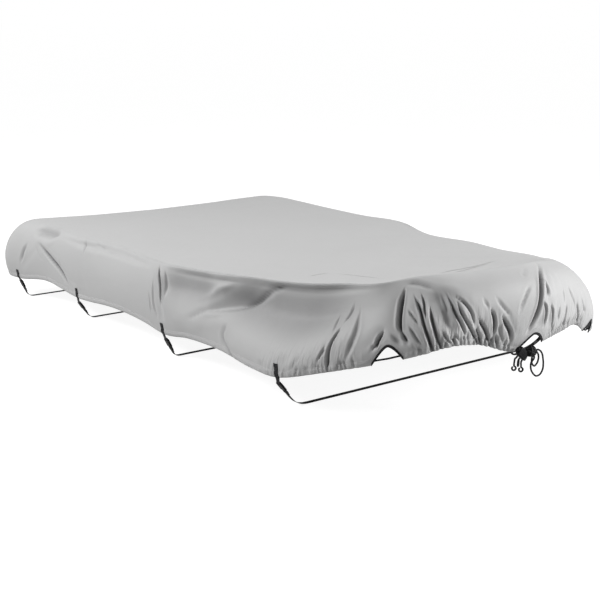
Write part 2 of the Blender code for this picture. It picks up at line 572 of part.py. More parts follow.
def socket_mesh():
    """Socket of a side-release buckle: mouth down, side windows, webbing bar on top."""
    wide, thick, slot = BUCKLE_HALF_WIDTH, BUCKLE_HALF_THICK, SLOT_HALF_WIDTH
    body = box("socket", (-wide, -thick, MEETING), (wide, thick, BUCKLE_END), BLACK_PLASTIC)
    edge = body.modifiers.new("edges", "BEVEL")
    edge.width = 0.0012
    edge.segments = 1
    carve(body, box("mouth", (-0.0120, -0.0029, MEETING - 0.002), (0.0120, 0.0029, 0.0160)))
    carve(body, box("windows", (-0.0200, -0.0024, 0.0024), (0.0200, 0.0024, 0.0126)))
    carve(body, box("slot", (-slot, -0.01, SLOT_END), (slot, 0.01, BAR_FROM_MIDDLE - BAR_HALF)))
    carve(body, box("bar front", (-slot, BAR_HALF, SLOT_END - 0.0001), (slot, 0.01, 0.03)))
    carve(body, box("bar back", (-slot, -0.01, SLOT_END - 0.0001), (slot, -BAR_HALF, 0.03)))
    return finished_mesh(body, "buckle socket")


# Right half of the plug seen flat, from the tip of the guide to the webbing bar: across, along.
PLUG_OUTLINE = ((0.0016, 0.0130), (0.0023, 0.0108), (0.0023, -0.0060), (0.0068, -0.0060),
                (0.0072, 0.0020), (0.0086, 0.0104), (0.0102, 0.0114), (0.0136, 0.0052),
                (0.0136, 0.0032), (0.0112, 0.0032), (0.0112, -0.0060), (0.0145, -0.0060),
                (0.0145, -BUCKLE_END))


def plug_mesh():
    """Plug of the buckle: two sprung arms and a guide on a collar, two webbing slots below."""
    flat = bpy.data.curves.new("plug outline", "CURVE")
    flat.dimensions = "2D"
    flat.fill_mode = "BOTH"
    flat.extrude = 0.0021
    outline = [(x, y) for x, y in PLUG_OUTLINE]
    outline += [(-x, y) for x, y in reversed(PLUG_OUTLINE)]
    slot = SLOT_HALF_WIDTH
    bar = BAR_FROM_MIDDLE - BAR_HALF
    slots = [[(-slot, low), (slot, low), (slot, high), (-slot, high)]
             for low, high in ((-bar, -SLOT_END), (-0.0178, -0.0130))]
    for ring in [outline, *slots]:
        spline = flat.splines.new("POLY")
        spline.points.add(len(ring) - 1)
        for point, (x, y) in zip(spline.points, ring):
            point.co = (x, y, 0.0, 1.0)
        spline.use_cyclic_u = True
    drawn = bpy.data.objects.new("plug outline", flat)
    parts.objects.link(drawn)
    bpy.context.view_layer.update()
    graph = bpy.context.evaluated_depsgraph_get()
    mesh = bpy.data.meshes.new_from_object(drawn.evaluated_get(graph))
    bpy.data.objects.remove(drawn, do_unlink=True)
    made = bmesh.new()
    made.from_mesh(mesh)
    bmesh.ops.remove_doubles(made, verts=made.verts, dist=0.00001)
    bmesh.ops.rotate(made, matrix=Matrix.Rotation(math.radians(90), 3, "X"), verts=made.verts)
    made.to_mesh(mesh)
    made.free()
    mesh.materials.clear()
    mesh.materials.append(BLACK_PLASTIC)
    body = bpy.data.objects.new("plug", mesh)
    parts.objects.link(body)
    thick, collar = 0.0042, MEETING - GAP
    carve(body, box("collar", (-0.0145, -thick, collar - 0.0062), (0.0145, thick, collar)), "UNION")
    carve(body, box("bar front", (-slot, BAR_HALF, -0.03), (slot, 0.01, -SLOT_END + 0.0001)))
    carve(body, box("bar back", (-slot, -0.01, -0.03), (slot, -BAR_HALF, -SLOT_END + 0.0001)))
    return finished_mesh(body, "buckle plug")


SOCKET = socket_mesh()
PLUG = plug_mesh()
for label, y, buckle_x, buckle_z, lean, _, _, _ in STRAPS:
    for piece, mesh in (("socket", SOCKET), ("plug", PLUG)):
        half = add("buckle_" + piece + "_" + label, mesh, BLACK_PLASTIC)
        half.location = (buckle_x, y, buckle_z)
        half.rotation_mode = "ZYX"
        half.rotation_euler = (0.0, -math.radians(lean), math.radians(90))


# ---------------------------------------------------------------- straps
LOOP_RADIUS = 0.0031       # middle of the webbing where it turns round a bar
PATCH_LIFT = 2 * GAP + WEB_THICK / 2


def patch(place, slant=0.0):
    """Middle line, sideways and outward directions of a strap sewn flat over the hem."""
    heights = (0.050, 0.038, 0.024, 0.012, 0.0)
    points = []
    for height in heights:
        sides = place + slant * height + np.array((-0.010, 0.0, 0.010))
        point, normal = side_point(sides, down_at(sides, height), PATCH_LIFT)
        sideways = point[2] - point[0]
        sideways /= np.linalg.norm(sideways)
        points.append(((point[0] + point[2]) / 2, sideways, normal[1]))
    return points


def web_grid(middles, sideways):
    """Two edges of a webbing strip from its middle line and sideways directions."""
    middles = np.array(middles)
    sideways = np.array(sideways)
    sideways /= np.linalg.norm(sideways, axis=1)[:, None]
    half = WEB_WIDTH / 2
    return np.array((middles - sideways * half, middles + sideways * half)).transpose(1, 0, 2)


def buckle_point(buckle, along, out):
    """A point in the upright plane of a strap, from its place on the buckle."""
    x, y, z, lean = buckle
    sine, cosine = math.sin(lean), math.cos(lean)
    return np.array((x - sine * along - cosine * out, y, z + cosine * along - sine * out))


def turn_round(centre, toward, out, steps=6):
    """Half a turn of webbing round a bar, from its outer side, past "toward", to its inner side."""
    angles = np.linspace(0, math.pi, steps + 1)
    return [centre + LOOP_RADIUS * (out * math.cos(a) + toward * math.sin(a)) for a in angles]


def bend(start, start_lead, end_lead, end, steps):
    t = np.linspace(0, 1, steps + 1)[:, None]
    return list((1 - t) ** 3 * start + 3 * (1 - t) ** 2 * t * start_lead
                + 3 * (1 - t) * t ** 2 * end_lead + t ** 3 * end)


ALONG_Y = np.array((0.0, 1.0, 0.0))
FLOOR_LEVEL = KEEL_GAP + WEB_THICK / 2
for index, (label, y, buckle_x, buckle_z, lean, floor_x, far_floor_x, slant) in enumerate(STRAPS):
    near_place, far_place = STRAP_PLACES[2 * index], STRAP_PLACES[2 * index + 1]
    buckle = (buckle_x, y, buckle_z, math.radians(lean))

    # Short strap: sewn over the near hem, down to the socket's bar, round it and back.
    sewn = patch(near_place, slant)
    middles = [point for point, _, _ in sewn]
    sideways = [-side for _, side, _ in sewn]
    bar = buckle_point(buckle, BAR_FROM_MIDDLE, 0.0)
    toward = bar - middles[-1]
    toward[1] = 0.0
    toward /= np.linalg.norm(toward)
    out = np.array((toward[2], 0.0, -toward[0]))
    turn = turn_round(bar, toward, out)
    free_end = bar - out * 0.0022 - toward * 0.0072
    halfway = (middles[-1] + turn[0]) / 2
    middles += [halfway, *turn, free_end]
    sideways += [ALONG_Y] * (len(middles) - len(sideways))
    sheet("strap_short_" + label, web_grid(middles, sideways), WEB_THICK, 0.0, BLACK_WEBBING)

    # Long strap: free end behind the plug, round its bar, under the hull, sewn over the far hem.
    bar = buckle_point(buckle, -BAR_FROM_MIDDLE, 0.0)
    down_axis = buckle_point(buckle, -1.0, 0.0) - buckle_point(buckle, 0.0, 0.0)
    out = buckle_point(buckle, 0.0, 1.0) - buckle_point(buckle, 0.0, 0.0)
    turn = turn_round(bar, -down_axis, out)[::-1]
    middles = [buckle_point(buckle, -0.0400, -0.0011), buckle_point(buckle, -0.0330, -0.0014), *turn]
    start = buckle_point(buckle, -0.0330, 0.0014)
    leave = buckle_point(buckle, -0.0420, 0.0011)
    floor = np.array((floor_x, y, FLOOR_LEVEL))
    reach = 0.45 * np.linalg.norm(floor - leave)
    middles += [start]
    middles += bend(leave, leave + down_axis * reach, floor - np.array((reach, 0, 0)), floor, 6)
    sewn = patch(far_place)[::-1]
    edge = sewn[0][0]
    far_floor = np.array((far_floor_x, y, FLOOR_LEVEL))
    under = edge - np.array((0.004, 0.0, 0.014))
    middles += bend(far_floor, far_floor + np.array((0.075, 0, 0)), under - np.array((0, 0, 0.050)),
                    under, 7)
    sideways = [ALONG_Y] * len(middles)
    middles += [point for point, _, _ in sewn]
    sideways += [-side for _, side, _ in sewn]
    sideways = [side if side[1] > 0 else -side for side in sideways]
    sheet("strap_long_" + label, web_grid(middles, sideways), WEB_THICK, 0.0, BLACK_WEBBING)


# ---------------------------------------------------------------- drawcord and tie
def cord(name, route, spacing):
    """A plain tube along a smooth curve through the points of a route."""
    route = np.array(route, dtype=float)
    steps = np.linalg.norm(np.diff(route, axis=0), axis=1)
    along = np.concatenate(((0.0,), np.cumsum(steps)))
    count = max(3, round(along[-1] / spacing))
    points = smooth(along, route, np.linspace(0, along[-1], count + 1))
    curve = bpy.data.curves.new(name, "CURVE")
    curve.dimensions = "3D"
    curve.bevel_depth = CORD_RADIUS
    curve.bevel_resolution = 2
    curve.use_fill_caps = True
    spline = curve.splines.new("POLY")
    spline.points.add(len(points) - 1)
    for corner, point in zip(spline.points, points):
        corner.co = (*point, 1.0)
    curve.materials.append(BLACK_CORD)
    return add(name, curve, BLACK_CORD)


HEM_MIDDLE = HEM_DEPTH / 2
BEHIND_BINDING = CLOTH + BINDING_THICK + 8 * GAP + CORD_RADIUS
BEHIND_HEM = CLOTH + CORD_RADIUS - HEM_PUFF


def behind_hem(place, depth, height=HEM_MIDDLE):
    """A point of the drawcord's line, part-way up the hem and behind the cloth's outer face."""
    place = np.array((place,))
    down = 1 - height / side_length(place)
    point = drape(place, down)[0]
    step_along = (drape(place + 0.02, down) - drape(place - 0.02, down))[0]
    normal = np.cross((drape(place, np.ones(1)) - drape(place, down - 0.05))[0], step_along)
    return point - normal / np.linalg.norm(normal) * depth


def hem_lead(arch, side):
    """The cord's way along the hem to one foot of an arch, from inside the hem."""
    _, middle, half_width, _, clear = arch
    return [behind_hem(middle + side * (half_width + inside), BEHIND_HEM + clear)
            for inside in (0.022, 0.014)]


for arch in (ARCHES[0], ARCHES[2]):
    label, middle, half_width = arch[:3]
    across = (middle - half_width, middle, middle + half_width)
    route = hem_lead(arch, -1)
    route += [behind_hem(place, BEHIND_BINDING) for place in across]
    route += hem_lead(arch, 1)[::-1]
    cord("drawcord_span_" + label, route, 0.0130)


def on_knot(direction):
    """Two points straight out of the knot in the given direction, the first just clear of it."""
    out = Vector(direction).normalized()
    reach = KNOT_RADIUS + 2 * GAP
    return [tuple(KNOT_CENTRE + out * reach), tuple(KNOT_CENTRE + out * (reach + 0.005))]


lock_turn = Matrix.Rotation(math.radians(LOCK_TILT), 3, "Y")


def on_lock(along, across):
    """Two points straight out of the lock's lower long side, the first just clear of it."""
    side = LOCK_SIZE[2] / 2 + 2 * GAP
    return [tuple(LOCK_CENTRE + lock_turn @ Vector((along, across, -side - out)))
            for out in (0.0, 0.008)]


bow_arch = ARCHES[1]
right_foot = behind_hem(bow_arch[1] + bow_arch[2], BEHIND_BINDING, 0.009)
cord("drawcord_end_right", [*hem_lead(bow_arch, 1), right_foot, *LEAD_RIGHT,
                            *on_knot((0.39, 0.10, 0.915))[::-1]], 0.0100)
cord("drawcord_end_left", [*hem_lead(bow_arch, -1), *LEAD_LEFT], 0.0070)
cord("tie_loop_large", [*on_knot((0.92, -0.39, 0.05)), *LOOP_LARGE,
                        *on_knot((0.02, -0.50, -0.86))[::-1]], 0.0115)
cord("tie_loop_medium", [*on_knot((0.93, 0.26, -0.22)), *LOOP_MEDIUM,
                         *on_knot((0.62, 0.26, -0.74))[::-1]], 0.0105)
cord("tie_loop_short", [*on_lock(-0.0035, -0.0035), *LOOP_SHORT, *on_lock(0.0040, 0.0040)[::-1]], 0.0080)


def end_ring(name, above):
    """A knotted end: a ring of cord that hangs under the last point of a tail."""
    made = bmesh.new()
    ring = bpy.data.meshes.new(name)
    section = bmesh.ops.create_circle(made, segments=8, radius=END_RING_CORD)
    bmesh.ops.translate(made, vec=(END_RING_RADIUS, 0, 0), verts=section["verts"])
    bmesh.ops.rotate(made, matrix=Matrix.Rotation(math.radians(90), 3, "X"), verts=made.verts)
    bmesh.ops.spin(made, geom=made.verts[:] + made.edges[:], angle=math.tau, steps=16,
                   axis=(0, 0, 1), cent=(0, 0, 0), use_merge=True)
    bmesh.ops.remove_doubles(made, verts=made.verts, dist=0.00001)
    bmesh.ops.recalc_face_normals(made, faces=made.faces)
    made.to_mesh(ring)
    made.free()
    ring.shade_smooth()
    item = add(name, ring, BLACK_CORD)
    item.location = Vector(above) - Vector((0, 0, END_RING_RADIUS + END_RING_CORD + 1.5 * GAP))
    item.rotation_euler = (math.radians(90), 0, math.radians(-30))
    return item


cord("tie_tail_left", [*on_lock(-0.0120, 0.0035), *TAIL_LEFT], 0.0085)
cord("tie_tail_right", [*on_lock(0.0125, -0.0035), *TAIL_RIGHT], 0.0080)
end_ring("tie_end_left", TAIL_LEFT[-1])
end_ring("tie_end_right", TAIL_RIGHT[-1])

# Knot: a ball of wound cord, its turns raised a little over the gaps between them.
wound = bmesh.new()
bmesh.ops.create_uvsphere(wound, u_segments=20, v_segments=12, radius=KNOT_RADIUS)
for corner in wound.verts:
    around = math.atan2(corner.co.y, corner.co.x)
    rise = math.asin(max(-1.0, min(1.0, corner.co.z / KNOT_RADIUS)))
    corner.co *= 0.94 + 0.06 * math.cos(5 * rise + 2 * around)
wound_mesh = bpy.data.meshes.new("tie knot")
wound.to_mesh(wound_mesh)
wound.free()
wound_mesh.shade_smooth()
knot = add("tie_knot", wound_mesh, BLACK_CORD)
knot.location = KNOT_CENTRE

# Cord lock: a flat barrel with a sprung button at its upper end.
half_size = Vector(LOCK_SIZE) / 2
barrel = box("cord_lock", -half_size, half_size, BLACK_PLASTIC)
barrel.parent = carrier
barrel.location = LOCK_CENTRE
barrel.rotation_euler = (0.0, math.radians(LOCK_TILT), 0.0)
rounding = barrel.modifiers.new("edges", "BEVEL")
rounding.width = 0.0035
rounding.segments = 2
pushed = bmesh.new()
bmesh.ops.create_cone(pushed, cap_ends=True, segments=20, radius1=BUTTON_RADIUS,
                      radius2=BUTTON_RADIUS, depth=BUTTON_LENGTH)
bmesh.ops.rotate(pushed, matrix=Matrix.Rotation(math.radians(90), 3, "Y"), verts=pushed.verts)
button_mesh = bpy.data.meshes.new("button")
pushed.to_mesh(button_mesh)
pushed.free()
button = add("cord_lock_button", button_mesh, BLACK_PLASTIC)
button.location = LOCK_CENTRE + lock_turn @ Vector((-half_size.x - GAP - BUTTON_LENGTH / 2, 0, 0))
button.rotation_euler = (0.0, math.radians(LOCK_TILT), 0.0)
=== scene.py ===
"""Boat cover: a grey coated sheet draped over a small inflatable boat, which is left out.

Metres, +Z up, +Y towards the stern, +X across to the far side. The origin is under the middle of
the top, where the boat carries the cover.
"""
import math

import bmesh
import bpy
import numpy as np
from mathutils import Matrix, Vector


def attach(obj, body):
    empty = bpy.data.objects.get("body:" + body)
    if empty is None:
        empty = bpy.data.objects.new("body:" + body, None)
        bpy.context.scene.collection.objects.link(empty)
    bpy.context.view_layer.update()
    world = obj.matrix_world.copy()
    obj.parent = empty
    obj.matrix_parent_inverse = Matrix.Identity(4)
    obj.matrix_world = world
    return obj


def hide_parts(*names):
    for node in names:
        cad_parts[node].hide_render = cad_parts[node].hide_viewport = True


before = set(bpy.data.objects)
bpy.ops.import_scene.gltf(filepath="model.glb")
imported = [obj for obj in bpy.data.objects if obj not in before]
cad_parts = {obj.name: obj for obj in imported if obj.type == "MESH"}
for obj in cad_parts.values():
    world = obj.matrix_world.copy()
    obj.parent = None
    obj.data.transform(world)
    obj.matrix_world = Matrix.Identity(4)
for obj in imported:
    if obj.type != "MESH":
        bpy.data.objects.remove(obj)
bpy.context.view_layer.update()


# ---------------------------------------------------------------- studio
# A pale table under a plain pale surround, with large soft lights over it. The camera stands off
# the near bow quarter, a little above the cover.
FLOOR_Z = -0.3880          # lowest level of the hull, which the straps pass under
CAMERA_AT = (-3.029, -3.735, 0.984)
CAMERA_DOWN = 13.8
CAMERA_YAW = 37.0
LENS_MM = 68.1

camera = bpy.data.objects.new("camera", bpy.data.cameras.new("camera"))
camera.data.lens = LENS_MM
camera.data.sensor_width = 36.0
camera.data.clip_end = 1000.0
camera.location = CAMERA_AT
camera.rotation_euler = (math.radians(90.0 - CAMERA_DOWN), 0.0, math.radians(-CAMERA_YAW))
bpy.context.scene.collection.objects.link(camera)
bpy.context.scene.camera = camera


class Value:
    """A number on its way through a node tree; arithmetic on it adds Math nodes."""

    def __init__(self, wiring, socket):
        self.wiring = wiring
        self.socket = socket

    def math(self, operation, *others):
        return self.wiring.node("ShaderNodeMath", {"operation": operation}, self, *others)

    def __add__(self, other):
        return self.math("ADD", other)

    def __sub__(self, other):
        return self.math("SUBTRACT", other)

    def __rsub__(self, other):
        return self.wiring.node("ShaderNodeMath", {"operation": "SUBTRACT"}, other, self)

    def __mul__(self, other):
        return self.math("MULTIPLY", other)

    def clamped(self):
        return self.wiring.node("ShaderNodeClamp", {}, self)

    __radd__ = __add__
    __rmul__ = __mul__


class Wiring:
    """A tree of nodes; node() adds any node and returns one of its outputs."""

    def __init__(self, tree):
        self.tree = tree

    def node(self, kind, settings, *values, output=0, **named):
        made = self.tree.nodes.new(kind)
        for setting, value in settings.items():
            setattr(made, setting, value)
        inputs = list(zip(made.inputs, values))
        inputs += [(made.inputs[label.replace("_", " ")], value) for label, value in named.items()]
        for socket, value in inputs:
            if isinstance(value, Value):
                self.tree.links.new(value.socket, socket)
            elif value is not None:
                socket.default_value = value
        return Value(self, made.outputs[output])


class Finish(Wiring):
    """A material with one shader, and what its colour, roughness and relief are made from."""

    def __init__(self, name, **constants):
        self.material = bpy.data.materials.new(name)
        self.material.use_nodes = True
        super().__init__(self.material.node_tree)
        self.shader = self.tree.nodes["Principled BSDF"]
        for label, value in constants.items():
            self.shader.inputs[label.replace("_", " ")].default_value = value

    def feed(self, socket, value):
        self.tree.links.new(value.socket, self.shader.inputs[socket])

    def place(self):
        """Position on the piece, in metres."""
        return self.node("ShaderNodeTexCoord", {}, output="Object")

    def laid(self):
        """Position along and across the flat cloth or cord, in metres, from its UV map."""
        return self.split(self.node("ShaderNodeUVMap", {"uv_map": "laid"}))

    def split(self, spot):
        """The first two parts of a place."""
        return [self.node("ShaderNodeSeparateXYZ", {}, spot, output=axis) for axis in (0, 1)]

    def mark(self, name):
        """A share that the mesh carries at each of its corners."""
        return self.node("ShaderNodeAttribute", {"attribute_name": name}, output="Fac")

    def noise(self, where, scale, detail=2.0, roughness=0.5):
        return self.node("ShaderNodeTexNoise", {}, Vector=where, Scale=scale, Detail=detail,
                         Roughness=roughness)

    def blend(self, share, first, second):
        """A colour between two others."""
        colours = [colour if isinstance(colour, Value) else (*colour, 1.0)
                   for colour in (first, second)]
        return self.node("ShaderNodeMix", {"data_type": "RGBA"}, share, *[None] * 5, *colours,
                         output=2)

    def relief(self, *layers):
        """Bump layers, each a height and its depth in metres; the result feeds the shader."""
        normal = None
        for height, depth in layers:
            normal = self.node("ShaderNodeBump", {}, Strength=1.0, Distance=depth, Height=height,
                               Normal=normal)
        self.feed("Normal", normal)


def grey(value, blue=0.0):
    """A grey, very slightly blue where asked."""
    return (value, value, value + blue)


TABLE_RADIUS = 300.0
TABLE_SIDES = 96
TABLE_GLOW = 0.90
TABLE_DIM = 0.36           # share of the table's glow that reaches the cover
table_finish = Finish("pale table", Roughness=0.9, Emission_Strength=TABLE_GLOW)
table_shade = table_finish.noise(table_finish.place(), 0.7)
table_finish.feed("Base Color", table_finish.blend(table_shade, grey(0.21), grey(0.22)))
table_seen = table_finish.node("ShaderNodeLightPath", {}, output="Is Camera Ray")
table_white = table_finish.blend(table_shade, grey(1.0), grey(0.99))
table_finish.feed("Emission Color", table_finish.blend(table_seen, grey(TABLE_DIM), table_white))
table_mesh = bpy.data.meshes.new("table")
table_form = bmesh.new()
bmesh.ops.create_circle(table_form, cap_ends=True, segments=TABLE_SIDES, radius=TABLE_RADIUS)
bmesh.ops.translate(table_form, vec=(0.0, 0.0, FLOOR_Z), verts=table_form.verts)
table_form.to_mesh(table_mesh)
table_form.free()
table = bpy.data.objects.new("table", table_mesh)
table_mesh.materials.append(table_finish.material)
bpy.context.scene.collection.objects.link(table)

# The surround looks as pale as the table where they meet; it lights the cover from overhead.
SURROUND_SEEN = 1.0
SURROUND_LOW = 0.22
SURROUND_HIGH = 0.43
SURROUND_RISE = 0.9        # sine of the height at which it is brightest
surround = bpy.data.worlds.new("pale surround")
surround.use_nodes = True
sky = Wiring(surround.node_tree)
toward = sky.node("ShaderNodeTexCoord", {}, output="Generated")
height = sky.node("ShaderNodeSeparateXYZ", {}, toward, output="Z")
rise = sky.node("ShaderNodeMapRange", {}, Value=height, From_Max=SURROUND_RISE,
                To_Min=SURROUND_LOW, To_Max=SURROUND_HIGH)
seen = sky.node("ShaderNodeLightPath", {}, output="Is Camera Ray")
share = sky.node("ShaderNodeMapRange", {}, Value=seen, To_Min=rise, To_Max=SURROUND_SEEN)
background = sky.tree.nodes["Background"]
background.inputs["Color"].default_value = (*grey(1.0), 1.0)
sky.tree.links.new(share.socket, background.inputs["Strength"])
bpy.context.scene.world = surround
bpy.context.scene.view_settings.view_transform = "Standard"

# A row per light: where it stands, the point it faces, its width and height, and its power.
LIGHT_COLUMNS = ("at", "faces", "width", "height", "watts")
LIGHTS = (
    ("top light", (1.1, 1.7, 3.1), (0.2, 0.6, 0.0), 2.4, 3.0, 38.0),
    ("left light", (-3.6, 1.7, 2.7), (-0.7, 0.3, 0.1), 1.0, 1.4, 216.0),
    ("right light", (2.3, -3.6, 1.4), (0.1, -0.9, 0.1), 1.0, 1.2, 225.0),
)
for label, at, faces, width, height, watts in LIGHTS:
    lamp = bpy.data.lights.new(label, "AREA")
    lamp.shape = "RECTANGLE"
    lamp.size = width
    lamp.size_y = height
    lamp.energy = watts
    holder = bpy.data.objects.new(label, lamp)
    holder.location = at
    holder.rotation_euler = (Vector(faces) - Vector(at)).to_track_quat("-Z", "Y").to_euler()
    bpy.context.scene.collection.objects.link(holder)


# ---------------------------------------------------------------- cover
# One sheet of grey coated polyester. A drawcord in its hem gathers it under the boat's tubes, so it
# lies smooth on top and falls down the sides in uneven folds. Sizes are laid out from the hull's
# lowest point and lowered by HOLD_HEIGHT at the end.
HOLD_HEIGHT = -FLOOR_Z
CLOTH = 0.0012             # thickness of the sheet
HEM_DEPTH = 0.024          # height of the turned-up hem that holds the drawcord
HEM_PUFF = 0.0030          # how far the hem stands out over the cord
SPINE_AFT = 1.16           # the middle line of the top runs between these two stations
SPINE_FORE = -0.72

# A row per cross-section round the girth, from the middle of the stern along the near side to
# the bow and back along the far side. "facing" is the outward direction in degrees (-90 stern,
# 0 near side, 90 bow, 180 far side). The ridge is the edge of the top, the hem the lower edge.
# "out" and "drop" lead the cloth off the ridge; "tuck" and "rise" lead it up from the hem.
SECTION_COLUMNS = ("facing", "ridge_x", "ridge_y", "ridge_z", "out", "drop",
                   "hem_x", "hem_y", "hem_z", "tuck", "rise")
SECTIONS = (
    ("stern middle", -90, 0.000, 1.592, 0.384, 0.085, 0.030, 0.000, 1.705, 0.130, 0.045, 0.110),
    ("stern near", -90, -0.420, 1.594, 0.392, 0.088, 0.030, -0.425, 1.720, 0.128, 0.045, 0.110),
    ("stern turn", -84, -0.592, 1.597, 0.399, 0.116, 0.020, -0.642, 1.738, 0.118, 0.070, 0.110),
    ("near stern corner", -45, -0.688, 1.592, 0.402, 0.128, 0.013, -0.776, 1.738, 0.103, 0.070, 0.115),
    ("near aft", -6, -0.698, 1.510, 0.402, 0.090, 0.025, -0.772, 1.630, 0.101, 0.045, 0.115),
    ("near scallop 1", 0, -0.708, 1.280, 0.401, 0.070, 0.035, -0.747, 1.380, 0.130, 0.026, 0.110),
    ("near strap 2", 0, -0.716, 1.000, 0.400, 0.055, 0.040, -0.736, 1.045, 0.105, 0.022, 0.110),
    ("near scallop 2", 0, -0.690, 0.700, 0.402, 0.065, 0.040, -0.732, 0.700, 0.126, 0.028, 0.110),
    ("near aft of pleat", 0, -0.712, 0.420, 0.401, 0.050, 0.040, -0.735, 0.420, 0.121, 0.028, 0.110),
    ("near strap 3", 0, -0.724, 0.280, 0.402, 0.030, 0.060, -0.736, 0.250, 0.105, 0.030, 0.110),
    ("near fore of pleat", 0, -0.700, 0.060, 0.408, 0.004, 0.070, -0.724, 0.080, 0.122, 0.030, 0.110),
    ("near scallop 3", 0, -0.668, -0.200, 0.426, -0.012, 0.080, -0.722, -0.160, 0.127, 0.010, 0.105),
    ("near swell", 4, -0.640, -0.420, 0.441, -0.016, 0.085, -0.742, -0.400, 0.119, 0.002, 0.095),
    ("near strap 4", 12, -0.602, -0.580, 0.455, -0.014, 0.085, -0.741, -0.565, 0.124, 0.004, 0.095),
    ("near quarter", 27, -0.548, -0.710, 0.473, -0.004, 0.080, -0.680, -0.740, 0.172, 0.016, 0.100),
    ("near quarter arch", 42, -0.500, -0.850, 0.493, 0.012, 0.075, -0.560, -0.930, 0.232, 0.045, 0.100),
    ("near shoulder", 55, -0.400, -0.930, 0.518, 0.060, 0.034, -0.470, -1.040, 0.274, 0.035, 0.090),
    ("near corner", 66, -0.338, -0.980, 0.527, 0.100, 0.016, -0.385, -1.085, 0.296, 0.035, 0.090),
    ("bow near", 80, -0.230, -1.020, 0.531, 0.115, 0.010, -0.255, -1.090, 0.280, 0.055, 0.100),
    ("bow tie", 88, -0.110, -1.045, 0.534, 0.120, 0.010, -0.112, -1.120, 0.240, 0.060, 0.110),
    ("bow middle", 94, -0.020, -1.050, 0.533, 0.120, 0.010, -0.010, -1.140, 0.259, 0.050, 0.110),
    ("bow far", 110, 0.110, -1.010, 0.520, 0.120, 0.014, 0.140, -1.105, 0.264, 0.045, 0.100),
    ("far corner", 124, 0.255, -0.962, 0.494, 0.105, 0.024, 0.345, -1.022, 0.240, 0.055, 0.100),
    ("far flap", 133, 0.325, -0.915, 0.477, 0.110, 0.032, 0.420, -0.998, 0.192, 0.055, 0.110),
    ("far quarter arch", 143, 0.400, -0.850, 0.460, 0.110, 0.035, 0.492, -0.962, 0.178, 0.050, 0.115),
    ("far quarter", 157, 0.510, -0.700, 0.434, 0.105, 0.040, 0.626, -0.846, 0.142, 0.052, 0.120),
    ("far strap 4", 171, 0.590, -0.540, 0.415, 0.085, 0.040, 0.722, -0.565, 0.120, 0.050, 0.120),
    ("far swell", 178, 0.630, -0.340, 0.399, 0.060, 0.040, 0.740, -0.350, 0.124, 0.035, 0.115),
    ("far scallop 3", 180, 0.680, -0.120, 0.389, 0.045, 0.045, 0.738, -0.120, 0.134, 0.030, 0.110),
    ("far dip", 180, 0.700, 0.190, 0.377, 0.030, 0.050, 0.742, 0.060, 0.126, 0.030, 0.110),
    ("far strap 3", 180, 0.738, 0.400, 0.398, 0.030, 0.050, 0.742, 0.250, 0.106, 0.030, 0.110),
    ("far scallop 2", 180, 0.715, 0.700, 0.400, 0.050, 0.040, 0.734, 0.650, 0.134, 0.028, 0.110),
    ("far strap 2", 180, 0.722, 1.020, 0.400, 0.050, 0.040, 0.742, 1.045, 0.106, 0.022, 0.110),
    ("far scallop 1", 180, 0.738, 1.280, 0.400, 0.045, 0.040, 0.750, 1.320, 0.130, 0.022, 0.110),
    ("far aft", 186, 0.734, 1.470, 0.401, 0.075, 0.030, 0.775, 1.630, 0.102, 0.040, 0.115),
    ("far stern corner", 225, 0.702, 1.555, 0.400, 0.105, 0.020, 0.745, 1.705, 0.106, 0.055, 0.115),
    ("stern far turn", 264, 0.610, 1.575, 0.397, 0.100, 0.025, 0.625, 1.700, 0.122, 0.050, 0.110),
    ("stern far", 270, 0.400, 1.585, 0.390, 0.085, 0.030, 0.420, 1.698, 0.130, 0.045, 0.110),
    ("stern middle", 270, 0.000, 1.592, 0.384, 0.085, 0.030, 0.000, 1.705, 0.130, 0.045, 0.110),
)

PLACE_ZERO = "bow tie"     # girth positions are measured from here, near side negative

# Stations of the middle line of the top: position along the boat and height of the cloth.
MIDDLE_COLUMNS = ("y", "z")
MIDDLE = ((1.16, 0.3930), (0.60, 0.3940), (0.10, 0.3900), (-0.30, 0.3960), (-0.72, 0.4260))

